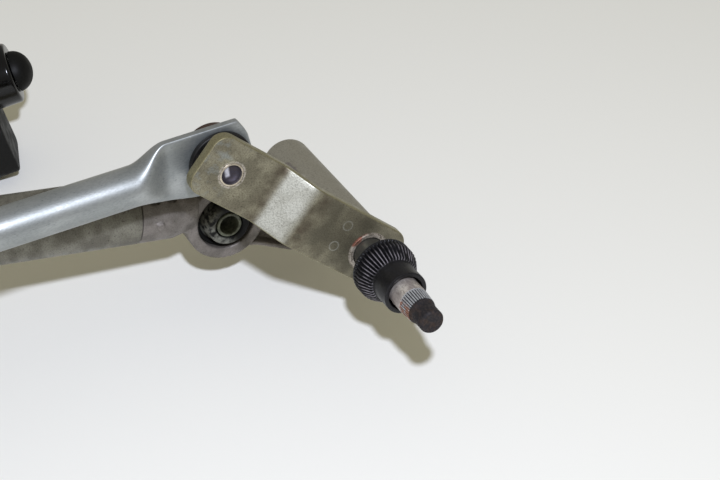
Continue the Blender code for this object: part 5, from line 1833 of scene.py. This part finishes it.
@dataclass
class MotorCrank:
    """Crank arm with its hub; sizes in mm."""

    thickness: float = 4.5
    eye: float = 8.5
    hub: float = 11.0
    hub_rise: float = 2.2
    bore: float = 4.2
    stud_hole: float = 4.3

    def mesh(self) -> bpy.types.Mesh:
        """Two arcs joined by tangents, with the hub raised and both holes drilled."""
        throw = abs(STUD_X)
        tilt = math.degrees(math.asin((self.hub - self.eye) / throw))
        outline = np.vstack([arc((0.0, 0.0), self.eye, 90.0 + tilt, 270.0 - tilt, 25),
                             arc((throw, 0.0), self.hub, -90.0 - tilt, 90.0 + tilt, 33)])
        front = level(PLATE_FACE)
        body = plate("arm", outline, front - self.thickness, front, 0.5)
        boss = turned("hub", rounded([(0.1, front + self.hub_rise),
                                      (0.8 * self.hub, front + self.hub_rise),
                                      (0.9 * self.hub, front - 1.0), (0.1, front - 1.0)],
                                     0.5, 3), 72, centre=(throw, 0.0))
        bore = column("bore", self.bore, -90.0, 0.0, (throw, 0.0))
        hole = column("hole", self.stud_hole, -90.0, 0.0)
        return combined("crank_arm", body, (boss,), (bore, hole))

    def build(self) -> None:
        """Add the arm."""
        add_piece("crank_arm_forged", self.mesh(), Place(x=CRANK_X + STUD_X, y=CRANK_Y),
                  HARDWARE_ZINC, Slot.STEEL, "crank_arm", sharp=30.0)


@dataclass
class Studio:
    """Pale floor, one small lamp, soft surround and the camera.

    Places are in metres of the row frame. The fill and the surround are linear light.
    """

    camera_place: tuple = (-0.193007, -0.419881, 0.345098)
    camera_right: tuple = (0.89664, -0.43351, -0.08998)
    camera_up: tuple = (0.31173, 0.47381, 0.82361)
    camera_back: tuple = (-0.31441, -0.76653, 0.55997)
    lens: float = 95.008
    floor_point: tuple = (0.0, 0.096, -0.0291)
    floor_slope: float = 14.1
    floor_colour: str = "#eeeeeb"
    floor_reach: float = 3.0
    floor_rough: float = 0.8
    floor_specular: float = 0.1
    lamp_place: tuple = (-0.131, -0.397, 0.454)
    lamp_power: float = 16.3
    lamp_radius: float = 0.015
    lamp_colour: str = "#eaefff"
    fill: tuple = (0.36, 0.335, 0.245, 1.0)
    surround: tuple = (0.32, 0.31, 0.29, 1.0)

    def camera(self) -> None:
        """Camera at the photograph's place, given by its three axes."""
        data = bpy.data.cameras.new("camera")
        data.sensor_width = 36.0
        data.lens = self.lens
        data.clip_start = 0.01
        camera = bpy.data.objects.new("camera", data)
        turn = Matrix((self.camera_right, self.camera_up, self.camera_back)).transposed()
        camera.matrix_world = Matrix.Translation(self.camera_place) @ turn.to_4x4()
        bpy.context.scene.collection.objects.link(camera)
        bpy.context.scene.camera = camera

    def floor(self) -> None:
        """Wide plane close under the part, which slopes up to the rear."""
        reach = np.linspace(-self.floor_reach, self.floor_reach, 9)
        across, along = np.meshgrid(reach, reach, indexing="ij")
        skin = Skin()
        skin.grid(np.stack([across, along, np.zeros_like(across)], axis=2))
        mesh = bpy.data.meshes.new("floor")
        mesh.from_pydata(np.vstack(skin.points).tolist(), [], skin.faces)
        tilt = Matrix.Rotation(math.radians(self.floor_slope), 4, "X")
        mesh.transform(Matrix.Translation(self.floor_point) @ tilt)
        material = bpy.data.materials.new("painted_floor_board")
        material.use_nodes = True
        shader = material.node_tree.nodes["Principled BSDF"]
        shader.inputs["Base Color"].default_value = linear(self.floor_colour)
        shader.inputs["Roughness"].default_value = self.floor_rough
        shader.inputs["Specular IOR Level"].default_value = self.floor_specular
        mesh.materials.append(material)
        floor = bpy.data.objects.new("floor", mesh)
        bpy.context.scene.collection.objects.link(floor)

    def lights(self) -> None:
        """Small bright lamp near the camera, and the world as a warm fill.

        The world shows a pale surround to the camera and in reflections.
        """
        data = bpy.data.lights.new("lamp", "POINT")
        data.energy = self.lamp_power
        data.shadow_soft_size = self.lamp_radius
        data.color = linear(self.lamp_colour)[:3]
        lamp = bpy.data.objects.new("lamp", data)
        lamp.location = self.lamp_place
        bpy.context.scene.collection.objects.link(lamp)
        world = bpy.data.worlds.new("surround")
        world.use_nodes = True
        tree = world.node_tree
        tree.nodes.clear()
        path = add_node(tree, "ShaderNodeLightPath").outputs
        seen = Field(tree, path["Is Camera Ray"])
        for kind in ("Is Glossy Ray", "Is Transmission Ray"):
            seen = seen.math("MAXIMUM", Field(tree, path[kind]))
        fill = add_node(tree, "ShaderNodeBackground", {"Color": self.fill})
        pale = add_node(tree, "ShaderNodeBackground", {"Color": self.surround})
        mix = add_node(tree, "ShaderNodeMixShader",
                       {"Fac": seen.socket, 1: fill.outputs[0], 2: pale.outputs[0]})
        add_node(tree, "ShaderNodeOutputWorld", {"Surface": mix.outputs[0]})
        bpy.context.scene.world = world

    def build(self) -> None:
        """Set the scene."""
        self.camera()
        self.floor()
        self.lights()
        bpy.context.scene.view_settings.view_transform = "Standard"


def main() -> None:
    """Build the sub-assemblies in order and report them."""
    logging.basicConfig(level=logging.INFO, format="%(message)s")
    parts: list = [Studio(), FrameTube(), MotorBracket(), RearBuffer(), MotorCrank(), Rods(),
                   BallJoints()]
    for side in Side:
        parts += [PivotHousing(side), RubberMount(side), BarrelParts(side), Spindle(side),
                  Collar(side), Lever(side)]
    for part in parts:
        LOG.info("building %s", type(part).__name__)
        part.build()


if __name__ == "__main__":
    main()
